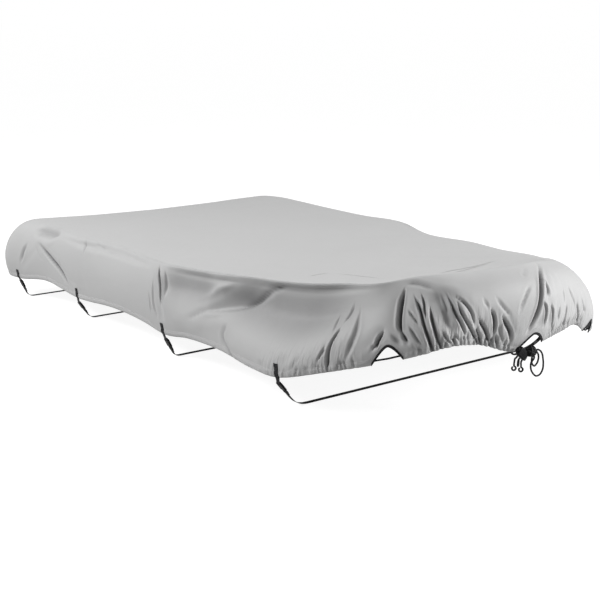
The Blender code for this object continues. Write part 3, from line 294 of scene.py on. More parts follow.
# A row per fold of the cloth: where it starts and ends on the girth and how far down the side
# (0 at the ridge, 1 at the hem), with a middle point that bends it. Depth below zero is a trough.
FOLD_COLUMNS = ("start_place", "start_down", "mid_place", "mid_down", "end_place", "end_down",
                "width", "depth")
FOLDS = (
    ("stern near droop", -3.66, 0.10, -3.62, 0.50, -3.64, 1.00, 0.050, -0.010),
    ("near star aft", -2.86, 0.36, -2.95, 0.66, -3.04, 0.92, 0.020, -0.008),
    ("near star fore", -2.80, 0.38, -2.60, 0.68, -2.40, 1.00, 0.026, -0.015),
    ("near star short", -2.46, 0.52, -2.43, 0.64, -2.40, 0.78, 0.018, -0.005),
    ("near ridge nick", -2.35, 0.00, -2.34, 0.14, -2.32, 0.28, 0.020, -0.006),
    ("near pleat aft", -1.785, 0.24, -1.780, 0.58, -1.760, 0.90, 0.014, -0.007),
    ("near pleat", -1.757, 0.02, -1.738, 0.50, -1.722, 0.88, 0.018, -0.024),
    ("near pleat fore", -1.700, 0.06, -1.694, 0.26, -1.690, 0.46, 0.014, -0.010),
    ("near swag", -1.53, 0.66, -1.31, 0.38, -1.06, 0.06, 0.050, -0.020),
    ("near swag lip", -1.55, 0.84, -1.30, 0.62, -1.02, 0.16, 0.026, 0.012),
    ("near quarter nick", -0.745, 0.24, -0.752, 0.38, -0.742, 0.54, 0.016, -0.006),
    ("near quarter fold", -0.680, 0.40, -0.706, 0.70, -0.690, 1.00, 0.020, -0.018),
    ("near quarter slant", -0.550, 0.32, -0.615, 0.68, -0.650, 1.00, 0.032, -0.014),
    ("near arch slant", -0.498, 0.50, -0.570, 0.80, -0.604, 1.00, 0.026, -0.013),
    ("near arch crease", -0.512, 0.52, -0.522, 0.66, -0.528, 0.80, 0.014, -0.014),
    ("near deep fold", -0.420, 0.03, -0.462, 0.54, -0.392, 0.96, 0.028, -0.030),
    ("near panel fold 1", -0.396, 0.24, -0.378, 0.56, -0.340, 1.00, 0.018, -0.022),
    ("near panel fold 2", -0.356, 0.08, -0.344, 0.56, -0.312, 1.00, 0.018, -0.021),
    ("near corner edge", -0.276, 0.22, -0.236, 0.62, -0.168, 1.00, 0.018, -0.018),
    ("bow fold 1", -0.262, 0.28, -0.196, 0.62, -0.138, 1.00, 0.020, -0.022),
    ("bow fold 2", -0.170, 0.62, -0.138, 0.80, -0.100, 1.00, 0.016, -0.016),
    ("bow fold 3", -0.128, 0.48, -0.100, 0.74, -0.086, 1.00, 0.018, -0.020),
    ("bow fold 4", -0.076, 0.54, -0.036, 0.78, -0.008, 1.00, 0.020, -0.026),
    ("bow main fold", 0.222, 0.03, 0.118, 0.48, 0.006, 1.00, 0.026, -0.038),
    ("bow short fold", 0.226, 0.22, 0.198, 0.36, 0.176, 0.50, 0.016, -0.012),
    ("bow fold 5", 0.146, 0.46, 0.130, 0.70, 0.108, 1.00, 0.018, -0.024),
    ("bow fold 6", 0.196, 0.48, 0.178, 0.76, 0.166, 1.00, 0.016, -0.020),
    ("far bow fold 1", 0.262, 0.40, 0.272, 0.74, 0.260, 1.00, 0.018, -0.015),
    ("far bow fold 2", 0.338, 0.44, 0.366, 0.74, 0.372, 1.00, 0.018, -0.015),
    ("far bow fold 3", 0.430, 0.30, 0.462, 0.66, 0.448, 1.00, 0.020, -0.018),
    ("far deep fold", 0.640, 0.05, 0.676, 0.54, 0.642, 1.00, 0.026, -0.030),
    ("far panel fold 1", 0.715, 0.20, 0.742, 0.60, 0.716, 1.00, 0.020, -0.020),
    ("far panel fold 2", 0.800, 0.34, 0.832, 0.68, 0.806, 1.00, 0.022, -0.018),
    ("far quarter slant", 0.900, 0.28, 0.950, 0.64, 0.930, 1.00, 0.032, -0.014),
    ("far swag", 1.180, 0.08, 1.420, 0.40, 1.640, 0.66, 0.052, -0.018),
    ("far swag lip", 1.150, 0.20, 1.410, 0.62, 1.660, 0.84, 0.028, 0.010),
    ("far pleat", 1.930, 0.02, 1.915, 0.50, 1.900, 0.86, 0.020, -0.020),
    ("far star fore", 2.960, 0.40, 2.760, 0.70, 2.580, 1.00, 0.028, -0.013),
    ("far star aft", 3.020, 0.38, 3.110, 0.66, 3.190, 0.92, 0.022, -0.008),
    ("stern far droop", 3.780, 0.12, 3.740, 0.52, 3.760, 1.00, 0.052, -0.011),
)

# Arches cut out of the hem at the bow: middle on the girth, half width and height.
ARCH_COLUMNS = ("place", "half_width", "height")
ARCHES = (
    ("near", -0.500, 0.054, 0.060),
    ("bow", 0.060, 0.058, 0.054),
    ("far", 0.570, 0.054, 0.056),
)


# A row per crease: four points of its route on the girth and down the side, the half width and
# depth of its section, and how much wider it is to the right of a route that runs down (or above
# one that runs along) than to the left.
CREASE_COLUMNS = ("place_1", "down_1", "place_2", "down_2", "place_3", "down_3", "place_4",
                  "down_4", "width", "depth", "skew")
# Rows with 'hollow' in their names are also darkened with painted shade, most of all the band under the
# ridge.
CREASES = (
    ("near lip hollow aft", -1.74, 0.28, -1.62, 0.28, -1.50, 0.29, -1.36, 0.30, 0.072, -0.028, 0.0),
    ("near lip hollow", -1.46, 0.28, -1.20, 0.30, -0.92, 0.32, -0.46, 0.30, 0.080, -0.038, 0.0),
    ("near star aft line", -2.984, 0.36, -3.005, 0.50, -3.010, 0.62, -3.020, 0.78, 0.0090, -0.010, 0.3),
    ("near star fore line", -2.933, 0.28, -2.771, 0.53, -2.660, 0.68, -2.540, 0.92, 0.0120, -0.017, 0.4),
    ("near star inner line", -2.903, 0.40, -2.870, 0.50, -2.840, 0.58, -2.801, 0.68, 0.0063, -0.003, 0.0),
    ("near star short line", -2.660, 0.48, -2.651, 0.54, -2.639, 0.60, -2.621, 0.68, 0.0043, -0.005, 0.0),
    ("near ridge line", -2.450, 0.02, -2.450, 0.10, -2.441, 0.16, -2.429, 0.30, 0.0090, -0.009, -0.3),
    ("near ridge pinch", -2.381, 0.05, -2.339, 0.06, -2.300, 0.08, -2.261, 0.13, 0.0048, -0.005, 0.0),
    ("near aft line", -2.249, 0.13, -2.210, 0.13, -2.171, 0.12, -2.129, 0.13, 0.0053, -0.003, 0.0),
    ("near pleat line 1", -1.811, 0.40, -1.811, 0.54, -1.811, 0.65, -1.811, 0.80, 0.0037, -0.004, 0.0),
    ("near pleat line 2", -1.769, 0.18, -1.781, 0.42, -1.781, 0.64, -1.760, 0.84, 0.0050, -0.006, 0.0),
    ("near pleat blade", -1.748, 0.02, -1.736, 0.20, -1.727, 0.40, -1.736, 0.60, 0.0060, -0.026, 0.3),
    ("near pleat line 3", -1.703, 0.06, -1.697, 0.18, -1.694, 0.32, -1.697, 0.48, 0.0060, -0.006, 0.3),
    ("near swag pull", -1.511, 0.43, -1.442, 0.31, -1.379, 0.19, -1.295, 0.10, 0.0140, 0.008, 0.0),
    ("near swag valley", -1.484, 0.59, -1.373, 0.49, -1.262, 0.38, -1.064, 0.10, 0.0250, -0.027, 0.6),
    ("near swag tail", -1.547, 0.72, -1.502, 0.65, -1.466, 0.58, -1.418, 0.52, 0.0110, -0.006, 0.2),
    ("near swag edge", -0.971, 0.00, -1.106, 0.12, -1.220, 0.29, -1.325, 0.54, 0.0088, -0.009, 0.3),
    ("near low pull", -1.277, 0.59, -1.286, 0.74, -1.271, 0.88, -1.199, 1.00, 0.0090, -0.006, 0.0),
    ("near stern hollow", -2.990, 0.20, -2.924, 0.13, -2.822, 0.12, -2.712, 0.09, 0.0310, -0.025, 0.0),
    ("near lip line stern", -2.76, 0.12, -2.40, 0.10, -2.05, 0.09, -1.76, 0.07, 0.0140, -0.009, -0.3),
    ("near lip line aft", -1.73, 0.06, -1.56, 0.07, -1.40, 0.08, -1.22, 0.08, 0.0100, -0.007, -0.3),
    ("near lip line", -1.30, 0.08, -1.05, 0.07, -0.80, 0.06, -0.48, 0.05, 0.0100, -0.008, -0.3),
    ("near low nick", -1.286, 0.79, -1.271, 0.84, -1.238, 0.92, -1.199, 0.99, 0.0043, -0.005, 0.0),
    ("near low dent", -1.280, 0.66, -1.277, 0.69, -1.277, 0.71, -1.283, 0.75, 0.0053, -0.003, 0.0),
    ("strap nick 1", -0.866, 0.81, -0.869, 0.87, -0.872, 0.91, -0.872, 0.96, 0.0037, -0.007, 0.0),
    ("strap nick 2", -0.803, 0.73, -0.815, 0.83, -0.827, 0.89, -0.845, 0.94, 0.0043, -0.005, 0.0),
    ("quarter small", -0.719, 0.69, -0.722, 0.76, -0.728, 0.81, -0.737, 0.90, 0.0048, -0.009, 0.1),
    ("quarter faint 1", -0.722, 0.30, -0.719, 0.40, -0.713, 0.47, -0.707, 0.55, 0.0046, -0.005, 0.0),
    ("quarter faint 2", -0.647, 0.20, -0.662, 0.28, -0.671, 0.36, -0.683, 0.45, 0.0049, -0.007, 0.0),
    ("quarter blade", -0.680, 0.45, -0.695, 0.60, -0.701, 0.76, -0.692, 1.00, 0.0048, -0.016, 0.2),
    ("quarter soft", -0.623, 0.20, -0.614, 0.53, -0.623, 0.70, -0.638, 0.93, 0.0080, -0.009, 0.1),
    ("arch blade", -0.506, 0.57, -0.524, 0.66, -0.533, 0.72, -0.536, 0.83, 0.0049, -0.020, -0.1),
    ("arch branch", -0.530, 0.69, -0.545, 0.78, -0.560, 0.85, -0.590, 0.94, 0.0062, -0.015, 0.0),
    ("arch soft", -0.494, 0.62, -0.470, 0.74, -0.446, 0.86, -0.428, 0.96, 0.0080, -0.011, 0.0),
    ("deep blade", -0.422, 0.09, -0.443, 0.29, -0.455, 0.54, -0.449, 0.70, 0.0062, -0.024, -0.1),
    ("deep blade foot", -0.455, 0.61, -0.443, 0.72, -0.425, 0.83, -0.395, 0.93, 0.0053, -0.018, 0.0),
    ("panel line 1", -0.425, 0.40, -0.413, 0.48, -0.401, 0.56, -0.386, 0.65, 0.0037, -0.010, 0.0),
    ("panel blade 1", -0.401, 0.22, -0.383, 0.44, -0.371, 0.68, -0.341, 1.00, 0.0046, -0.021, 0.1),
    ("panel blade 2", -0.374, 0.23, -0.368, 0.36, -0.368, 0.48, -0.362, 0.61, 0.0037, -0.015, 0.0),
    ("panel blade 3", -0.350, 0.40, -0.347, 0.58, -0.335, 0.77, -0.314, 1.00, 0.0048, -0.018, 0.0),
    ("panel low", -0.428, 0.59, -0.413, 0.69, -0.398, 0.79, -0.374, 0.91, 0.0046, -0.011, 0.0),
    ("fan 1", -0.317, 0.75, -0.305, 0.83, -0.293, 0.90, -0.269, 1.00, 0.0037, -0.011, 0.0),
    ("fan 2", -0.290, 0.84, -0.281, 0.89, -0.269, 0.93, -0.257, 1.00, 0.0036, -0.009, 0.0),
    ("fan 3", -0.269, 0.82, -0.260, 0.88, -0.251, 0.92, -0.239, 1.00, 0.0036, -0.009, 0.0),
    ("near panel lip", -0.449, 0.05, -0.389, 0.09, -0.344, 0.17, -0.296, 0.30, 0.0090, -0.008, -0.2),
    ("near panel hollow", -0.334, 0.20, -0.312, 0.38, -0.298, 0.60, -0.276, 0.84, 0.0320, -0.019, 0.0),
    ("near panel hollow low", -0.306, 0.46, -0.298, 0.58, -0.290, 0.70, -0.272, 0.86, 0.0180, -0.005, 0.0),
    ("corner blade", -0.290, 0.28, -0.269, 0.54, -0.245, 0.73, -0.200, 0.96, 0.0048, -0.016, 0.1),
    ("corner faint", -0.308, 0.29, -0.299, 0.41, -0.293, 0.50, -0.287, 0.60, 0.0048, -0.006, 0.0),
    ("bow blade 1", -0.257, 0.42, -0.242, 0.60, -0.200, 0.79, -0.149, 1.00, 0.0046, -0.018, 0.0),
    ("bow blade 2", -0.272, 0.35, -0.230, 0.48, -0.203, 0.60, -0.182, 0.77, 0.0040, -0.016, 0.1),
    ("bow blade 3", -0.182, 0.76, -0.170, 0.81, -0.155, 0.88, -0.137, 1.00, 0.0037, -0.015, 0.0),
    ("bow blade 4", -0.182, 0.62, -0.152, 0.74, -0.128, 0.84, -0.101, 1.00, 0.0046, -0.020, -0.1),
    ("bow blade 5", -0.134, 0.52, -0.113, 0.62, -0.104, 0.72, -0.101, 0.87, 0.0049, -0.020, -0.2),
    ("bow blade 6", -0.089, 0.58, -0.062, 0.69, -0.038, 0.79, -0.011, 1.00, 0.0058, -0.022, -0.1),
    ("bow slant", -0.116, 0.40, -0.092, 0.48, -0.068, 0.55, -0.038, 0.61, 0.0048, -0.007, 0.2),
    ("bow slant small", -0.161, 0.43, -0.152, 0.47, -0.146, 0.49, -0.134, 0.55, 0.0043, -0.005, 0.0),
    ("bow soft", -0.092, 0.69, -0.083, 0.78, -0.071, 0.84, -0.053, 0.94, 0.0046, -0.006, 0.0),
    ("bow upper line", 0.097, 0.09, 0.067, 0.14, 0.046, 0.18, 0.028, 0.21, 0.0056, -0.003, -0.1),
    ("bow centre line", 0.064, 0.30, 0.028, 0.37, 0.001, 0.47, -0.023, 0.57, 0.0049, -0.007, -0.2),
    ("main blade", 0.223, 0.04, 0.115, 0.28, 0.070, 0.57, 0.016, 0.87, 0.0086, -0.030, 0.1),
    ("main short", 0.154, 0.25, 0.142, 0.34, 0.139, 0.42, 0.124, 0.50, 0.0048, -0.015, 0.1),
    ("bow blade 7", 0.097, 0.49, 0.112, 0.60, 0.109, 0.70, 0.097, 0.83, 0.0049, -0.021, 0.0),
    ("bow blade 8", 0.142, 0.56, 0.151, 0.68, 0.154, 0.80, 0.172, 0.96, 0.0046, -0.020, 0.0),
    ("bow blade 9", 0.211, 0.64, 0.205, 0.69, 0.202, 0.75, 0.205, 0.82, 0.0043, -0.011, 0.0),
    ("bow faint 1", 0.250, 0.46, 0.250, 0.51, 0.250, 0.58, 0.250, 0.64, 0.0043, -0.006, 0.0),
    ("bow line 1", 0.274, 0.64, 0.274, 0.74, 0.274, 0.85, 0.295, 0.99, 0.0048, -0.014, 0.0),
    ("bow line 2", 0.298, 0.43, 0.313, 0.55, 0.349, 0.68, 0.346, 0.78, 0.0043, -0.011, 0.0),
    ("bow line 3", 0.370, 0.66, 0.388, 0.77, 0.418, 0.89, 0.454, 0.99, 0.0048, -0.016, 0.0),
    ("bow line 4", 0.418, 0.60, 0.439, 0.69, 0.472, 0.77, 0.487, 0.81, 0.0043, -0.011, 0.0),
    ("bow line 5", 0.510, 0.76, 0.516, 0.82, 0.524, 0.87, 0.540, 0.94, 0.0043, -0.009, 0.0),
    ("far blade 1", 0.640, 0.05, 0.664, 0.34, 0.674, 0.62, 0.642, 1.00, 0.0049, -0.021, 0.1),
    ("far blade 2", 0.716, 0.20, 0.738, 0.44, 0.740, 0.70, 0.716, 1.00, 0.0046, -0.018, 0.0),
    ("far blade 3", 0.800, 0.34, 0.826, 0.54, 0.830, 0.74, 0.806, 1.00, 0.0049, -0.016, 0.0),
    ("far slant", 0.902, 0.28, 0.940, 0.50, 0.950, 0.74, 0.930, 1.00, 0.0053, -0.014, 0.0),
    ("far lip hollow", 0.56, 0.28, 0.90, 0.30, 1.24, 0.30, 1.90, 0.28, 0.076, -0.026, 0.0),
    ("far swag valley", 1.14, 0.10, 1.34, 0.34, 1.46, 0.48, 1.60, 0.60, 0.030, -0.022, 0.5),
    ("far pleat blade", 1.930, 0.02, 1.920, 0.22, 1.914, 0.42, 1.904, 0.66, 0.0053, -0.018, -0.1),
    ("far star line", 2.960, 0.38, 2.860, 0.56, 2.740, 0.72, 2.590, 0.92, 0.0053, -0.011, 0.2),
    ("far star aft line", 3.020, 0.38, 3.080, 0.52, 3.130, 0.66, 3.180, 0.84, 0.0049, -0.008, 0.0),
    ("stern drag near", -3.36, 0.04, -3.45, 0.34, -3.56, 0.66, -3.66, 0.96, 0.046, -0.013, 0.0),
    ("stern drag far", 3.46, 0.04, 3.57, 0.34, 3.70, 0.66, 3.82, 0.96, 0.046, -0.015, 0.0),
)

# Where the drawcord gathers the hem: stretches of the girth, spacing of the gathers, how deep
# they are and how far they reach up the cloth.
GATHER_COLUMNS = ("from_place", "to_place", "pitch", "depth", "reach")
GATHERS = (
    ("near bow", -1.00, -0.60, 0.018, 0.0062, 0.044),
    ("bow", -0.42, -0.02, 0.019, 0.0085, 0.050),
    ("far bow", 0.13, 0.50, 0.019, 0.0085, 0.050),
    ("far quarter", 0.64, 1.20, 0.020, 0.0065, 0.044),
)
GATHER_SEED = 7
GATHER_WIDTH = 0.26        # half width of a gather, as a share of their spacing
GATHER_START = 0.12        # share of its rise and fall that a gather has behind it at the edge
# How unevenly they fall: shift along the hem, share of the depth, share of the reach, and lean.
GATHER_SPREAD = ((-0.28, 0.28), (0.45, 1.35), (0.6, 1.25), (-0.45, 0.10))


def gather(place, above_edge):
    """Small gathers along the hem, uneven in place, depth and reach."""
    depth = np.zeros_like(place)
    chance = np.random.default_rng(GATHER_SEED)
    for _, start, end, pitch, deep, reach in GATHERS:
        count = round((end - start) / pitch)
        for number in range(count):
            shift, size, high, lean = (chance.uniform(*spread) for spread in GATHER_SPREAD)
            middle = start + (number + 0.5 + shift) * (end - start) / count
            across = (place - middle - lean * above_edge) / (GATHER_WIDTH * pitch)
            risen = GATHER_START + (1 - GATHER_START) * above_edge / (reach * high)
            depth -= deep * size * np.exp(-across ** 2) * np.sin(math.pi * risen.clip(0, 1))
    return depth


# Fine creases across the top: both ends, x and y, and how far each bows to its left.
TOP_LINE_COLUMNS = ("x_1", "y_1", "x_2", "y_2", "bow")
TOP_LINES = (
    ("lens aft", -0.420, -0.336, -0.290, -0.303, 0.010),
    ("lens fore", -0.290, -0.303, -0.240, -0.583, 0.014),
    ("peak fore", -0.152, -0.730, -0.007, -0.618, 0.006),
    ("peak aft", -0.007, -0.618, 0.207, -0.578, 0.008),
    ("fan 1", 0.060, -0.585, 0.381, -0.561, -0.012),
    ("fan 2", 0.040, -0.650, 0.307, -0.593, 0.010),
    ("fan 3", 0.200, -0.780, 0.305, -0.702, 0.006),
)
TOP_LINE_WIDTH = 0.006
TOP_LINE_DEPTH = 0.0050
# Painted shade along the fine creases of the top.
TOP_LINE_SHADE = 0.22

DRAWN_PAST = 0.06          # the pull reaches this far past a gathered stretch
DRAWN_EASE = 0.14
DRAWN_HEIGHT = 0.20


def drawn(place, above_edge):
    """How strongly the drawcord pulls the cloth into fine wrinkles, most at the hem of the bow."""
    pull = np.zeros_like(place)
    for _, start, end, _, _, _ in GATHERS:
        begun = ease((place - start + DRAWN_PAST) / DRAWN_EASE)
        left = ease((end + DRAWN_PAST - place) / DRAWN_EASE)
        pull = np.maximum(pull, begun * left)
    return pull * ease(1 - above_edge / DRAWN_HEIGHT)


GREY_LIGHT = grey(0.368)
GREY_DARK = grey(0.328, 0.001)
GREY_PAINTED_SHADE = grey(0.085, 0.002)      # painted shade in the creases, the gathers of the hem and the hollows under the ridge
THREAD = 0.0005            # spacing of the threads of the plain weave
WRINKLE_DEPTH = 0.0110


def plain_weave(finish, along, across, spacing):
    """Height of a plain weave, each thread passing over and under its neighbours by turns."""
    warp = (along * (math.pi / spacing)).math("SINE")
    weft = (across * (math.pi / spacing)).math("SINE")
    over = (warp * weft).math("SIGN") * 0.5 + 0.5
    return over * warp.math("ABSOLUTE") + (1.0 - over) * weft.math("ABSOLUTE")


def top_creases(finish, spot):
    """How near a spot is to a fine crease of the top: 1 in its middle, 0 beside it."""
    at_x, at_y = finish.split(spot)
    lines = 0.0
    for _, x_1, y_1, x_2, y_2, bow in TOP_LINES:
        length = math.hypot(x_2 - x_1, y_2 - y_1)
        run = ((x_2 - x_1) / length, (y_2 - y_1) / length)
        from_x = at_x - x_1
        from_y = at_y - y_1
        share = (from_x * run[0] + from_y * run[1]) * (1 / length)
        ends = (share * (1.0 - share) * 4.0).clamped()
        off = from_y * run[0] - from_x * run[1] - ends * bow
        lines = (1.0 - off.math("ABSOLUTE") * (1 / TOP_LINE_WIDTH)).clamped() * ends + lines
    return lines


cloth_finish = Finish("grey coated polyester", Roughness=0.58, Sheen_Weight=0.12,
                      Sheen_Roughness=0.5, Specular_IOR_Level=0.30)
cloth_place = cloth_finish.place()
along, across = cloth_finish.laid()
weave = plain_weave(cloth_finish, along, across, THREAD)
cloudy = cloth_finish.noise(cloth_place, 2.3, 3.0)
streaky = cloth_finish.noise(cloth_place, 26.0, 4.0, 0.6)
crumple = cloth_finish.noise(cloth_place, 7.0, 2.0, 0.45)
stretched = cloth_finish.node("ShaderNodeCombineXYZ", {}, along, across * 0.14 + along * 0.10, 0.0)
wrinkled = cloth_finish.noise(stretched, 58.0, 3.0, 0.55)
top_lines = top_creases(cloth_finish, cloth_place)
# Painted shade: the weave's share makes the cloth darker between its threads, where its colour follows the
# weave's height.
tone = (cloudy * 0.5 + streaky * 0.3 + weave * 0.2).clamped()
# Painted shade: the cloth is darkened in its narrow creases, the gathers of the hem, the broad hollows
# under the ridge and the fine creases of the top.
painted_shade = cloth_finish.mark("settled") * (streaky * 0.3 + 0.75) + top_lines * TOP_LINE_SHADE
clean = cloth_finish.blend(tone, GREY_DARK, GREY_LIGHT)
cloth_finish.feed("Base Color", cloth_finish.blend(painted_shade, clean, GREY_PAINTED_SHADE))
cloth_finish.feed("Roughness", streaky * 0.16 + 0.50)
cloth_finish.relief((crumple, 0.0020), (streaky, 0.0004), (weave, 0.00005),
                    (wrinkled * cloth_finish.mark("drawn"), WRINKLE_DEPTH),
                    (top_lines * -1.0, TOP_LINE_DEPTH))

ARCH_POWER = 1.5           # how rounded the arches are: 1 is a gable, 2 a parabola
UP = np.array((0.0, 0.0, 1.0))
ROWS = np.array([row[1:] for row in SECTIONS], dtype=float)
NAMES = [row[0] for row in SECTIONS]
GIRTH_OUT = 0.05           # the girth is measured this far outside the middles of the sections
CURVE_POINTS = 25          # of each curve from the ridge to the hem


def outward(facing):
    """Horizontal unit vectors that face out of the cover, from angles in degrees."""
    turn = np.radians(facing)
    return np.stack((-np.cos(turn), -np.sin(turn), np.zeros_like(turn)), axis=-1)


def girth_places():
    """Distance of each section along the girth, measured from the section PLACE_ZERO."""
    middle = (ROWS[:, 1:4] + ROWS[:, 6:9]) / 2 + GIRTH_OUT * outward(ROWS[:, 0])
    steps = np.hypot(*np.diff(middle[:, :2], axis=0).T)
    along = np.concatenate(((0.0,), np.cumsum(steps)))
    return along - along[NAMES.index(PLACE_ZERO)]


PLACES = girth_places()


def smooth(stations, values, where):
    """Values at any places on a smooth curve through the rows of a table."""
    steps = np.diff(stations)[:, None]
    slopes = np.diff(values, axis=0) / steps
    lean = np.empty_like(values)
    lean[0] = slopes[0]
    lean[-1] = slopes[-1]
    lean[1:-1] = (slopes[:-1] * steps[1:] + slopes[1:] * steps[:-1]) / (steps[1:] + steps[:-1])
    row = np.clip(np.searchsorted(stations, where) - 1, 0, len(stations) - 2)
    step = steps[row]
    t = (where - stations[row])[:, None] / step
    start = (2 * t ** 3 - 3 * t ** 2 + 1) * values[row]
    start = start + (t ** 3 - 2 * t ** 2 + t) * step * lean[row]
    end = (3 * t ** 2 - 2 * t ** 3) * values[row + 1] + (t ** 3 - t ** 2) * step * lean[row + 1]
    return start + end


def side_curves(place):
    """Sampled ridge-to-hem curves at girth places, with the length along each."""
    row = smooth(PLACES, ROWS, place)
    out = outward(row[:, 0])
    ridge = row[:, 1:4]
    hem = row[:, 6:9]
    lead = ridge + out * row[:, 4:5] - UP * row[:, 5:6]
    lift = hem + out * row[:, 9:10] + UP * row[:, 10:11]
    t = np.linspace(0, 1, CURVE_POINTS)[None, :, None]
    curve = ((1 - t) ** 3 * ridge[:, None] + 3 * (1 - t) ** 2 * t * lead[:, None]
             + 3 * (1 - t) * t ** 2 * lift[:, None] + t ** 3 * hem[:, None])
    steps = np.linalg.norm(np.diff(curve, axis=1), axis=2)
    length = np.concatenate((np.zeros((len(curve), 1)), np.cumsum(steps, axis=1)), axis=1)
    return curve, length


def drape(place, down):
    """Points of the cloth without folds, a share of the way down the side (0 ridge, 1 hem)."""
    curve, length = side_curves(place)
    points = np.empty((len(place), 3))
    for index, share in enumerate(down):
        at = share * length[index, -1]
        for axis in range(3):
            points[index, axis] = np.interp(at, length[index], curve[index, :, axis])
    return points


def side_length(place):
    return side_curves(place)[1][:, -1]


def rise_of_hem(place):
    """How far the lower edge is raised by the arches cut from the hem."""
    rise = np.zeros_like(place)
    for _, middle, half_width, height in ARCHES:
        across = np.clip(np.abs(place - middle) / half_width, 0, 1)
        rise += height * (1 - across ** ARCH_POWER)
    return rise


def ease(value):
    value = np.clip(value, 0, 1)
    return value * value * (3 - 2 * value)


FOLD_SHARE = 0.22          # depth left to the broad folds where creases run in them
HEM_SHARE = 0.14           # depth left to both at the drawn edge of the hem
HEM_EASE = 0.050           # height over which they reach their full depth
FOLD_SPAN = 0.33           # length of a side that counts as one when a fold's width is measured
ENDS_OPEN = 0.97           # a route that comes this far down runs out at the hem
# How far beside its route a fold reaches, in widths, the points that its route is drawn with, and
# the share of the route over which it deepens.
ROUTES = {"fold": (3, 15, 0.30), "crease": (4, 19, 0.35)}
FADE_OUT = 0.30
CREASE_END = 0.45          # width of a crease where it begins and ends, as a share of its own
CREASE_POWER = 1.7
FLANK = 0.16               # a crease's raised flanks, as a share of its depth
FLANK_AT = 2.0             # where they are highest and how wide, in half widths of the crease
FLANK_WIDTH = 0.8
CREASE_SHADE_WIDTH = 0.013      # painted shade darkens creases narrower than this
CREASE_SHADE_DEPTH = 0.014      # and darkens them fully from this depth on
CREASE_SHADE_POWER = 1.5
HOLLOW_SHADE_DEPTH = 0.034       # and a lighter painted shade darkens the broad hollows under the ridge
HOLLOW_SHADE = 0.42
# Painted shade in the gathers of the hem.
GATHER_SHADE = 0.4
GATHER_SHADE_DEPTH = 0.008


def route_distance(spot, route):
    """Distance of spots from a route, signed by the side they are on, and how far along it."""
    nearest = np.full(len(spot), np.inf)
    side = np.ones(len(spot))
    along = np.zeros(len(spot))
    for index in range(len(route) - 1):
        start = route[index]
        run = route[index + 1] - start
        off = spot - start
        part = np.clip((off @ run) / (run @ run), 0, 1)
        distance = np.linalg.norm(off - part[:, None] * run, axis=1)
        closer = distance < nearest
        nearest = np.where(closer, distance, nearest)
        side = np.where(closer, np.sign(run[1] * off[:, 0] - run[0] * off[:, 1]), side)
        along = np.where(closer, (index + part) / (len(route) - 1), along)
    return nearest, side, along


def beside_route(kind, place, down, corners, width):
    """Spots near a fold's route: which they are, how far from it, on which side, and its fade."""
    widths, count, fade_in = ROUTES[kind]
    spot = np.stack((place, down * FOLD_SPAN), axis=-1)
    corners = np.array(corners).reshape(-1, 2) * (1.0, FOLD_SPAN)
    near = np.flatnonzero((spot > corners.min(axis=0) - widths * width).all(axis=1)
                          & (spot < corners.max(axis=0) + widths * width).all(axis=1))
    route = smooth(np.linspace(0, 1, len(corners)), corners, np.linspace(0, 1, count))
    nearest, side, along = route_distance(spot[near], route)
    fade = ease(along / fade_in)
    if corners[-1, 1] < ENDS_OPEN * FOLD_SPAN:
        fade = fade * ease((1 - along) / FADE_OUT)
    return near, nearest, side, fade


def fold_depth(place, down):
    """How far the folds carry the cloth outward at each spot (inward where negative)."""
    depth = np.zeros_like(place)
    for _, *corners, width, fold in FOLDS:
        near, nearest, _, fade = beside_route("fold", place, down, corners, width)
        depth[near] += fold * fade * np.exp(-(nearest / width) ** 2)
    return depth


def crease_depth(place, down, creases):
    """The same for the creases, each a crisp valley between slightly raised flanks."""
    depth = np.zeros_like(place)
    for _, *corners, width, fold, skew in creases:
        near, nearest, side, fade = beside_route("crease", place, down, corners, width)
        share = CREASE_END + (1 - CREASE_END) * fade
        distance = nearest / (width * (1 + skew * side) * share)
        flank = np.exp(-((distance - FLANK_AT) / FLANK_WIDTH) ** 2)
        depth[near] += fold * fade * (np.exp(-distance ** CREASE_POWER) - FLANK * flank)
    return depth


def settled(place, down):
    """Share of painted shade in the narrow creases, the gathers of the hem and the broad hollows."""
    above_edge = (1 - down) * side_length(place) - rise_of_hem(place)
    narrow = [row for row in CREASES if row[9] < CREASE_SHADE_WIDTH]
    broad = [row for row in CREASES if "hollow" in row[0]]
    depth = -crease_depth(place, down, narrow) * calm(place, down) / CREASE_SHADE_DEPTH
    gathered = np.clip(-gather(place, above_edge) / GATHER_SHADE_DEPTH, 0, 1)
    shaded = np.clip(-crease_depth(place, down, broad) / HOLLOW_SHADE_DEPTH, 0, 1)
    return np.clip(depth, 0, 1) ** CREASE_SHADE_POWER + GATHER_SHADE * gathered + HOLLOW_SHADE * shaded


# Where the straps cross along the boat, and the stretches of the girth that they hang from.
STRAP_STATIONS = (1.630, 1.045, 0.250, -0.565)
SIDE_STRETCHES = {"near": (-3.14, -0.60), "far": (0.95, 3.27)}
STRETCH_POINTS = 300


def strap_place(side, y):
    """Girth place where a strap at station y crosses the hem on one side of the boat."""
    place = np.linspace(*SIDE_STRETCHES[side], STRETCH_POINTS)
    hem_y = smooth(PLACES, ROWS, place)[:, 7]
    order = np.argsort(hem_y)
    return float(np.interp(y, hem_y[order], place[order]))


STRAP_PLACES = [[strap_place(side, y) for side in SIDE_STRETCHES] for y in STRAP_STATIONS]


# Straps and arches hold the cloth flat from CALM_DOWN on: half width that stays flat beside the
# middle of a strap or the foot of an arch, and the width over which the folds return.
CALM_DOWN = 0.74
CALM_EASE = 0.10
STRAP_CALM = (0.014, 0.028)
ARCH_CALM = (0.026, 0.024)
ARCH_LEFT = 0.04           # depth left to the folds beside an arch


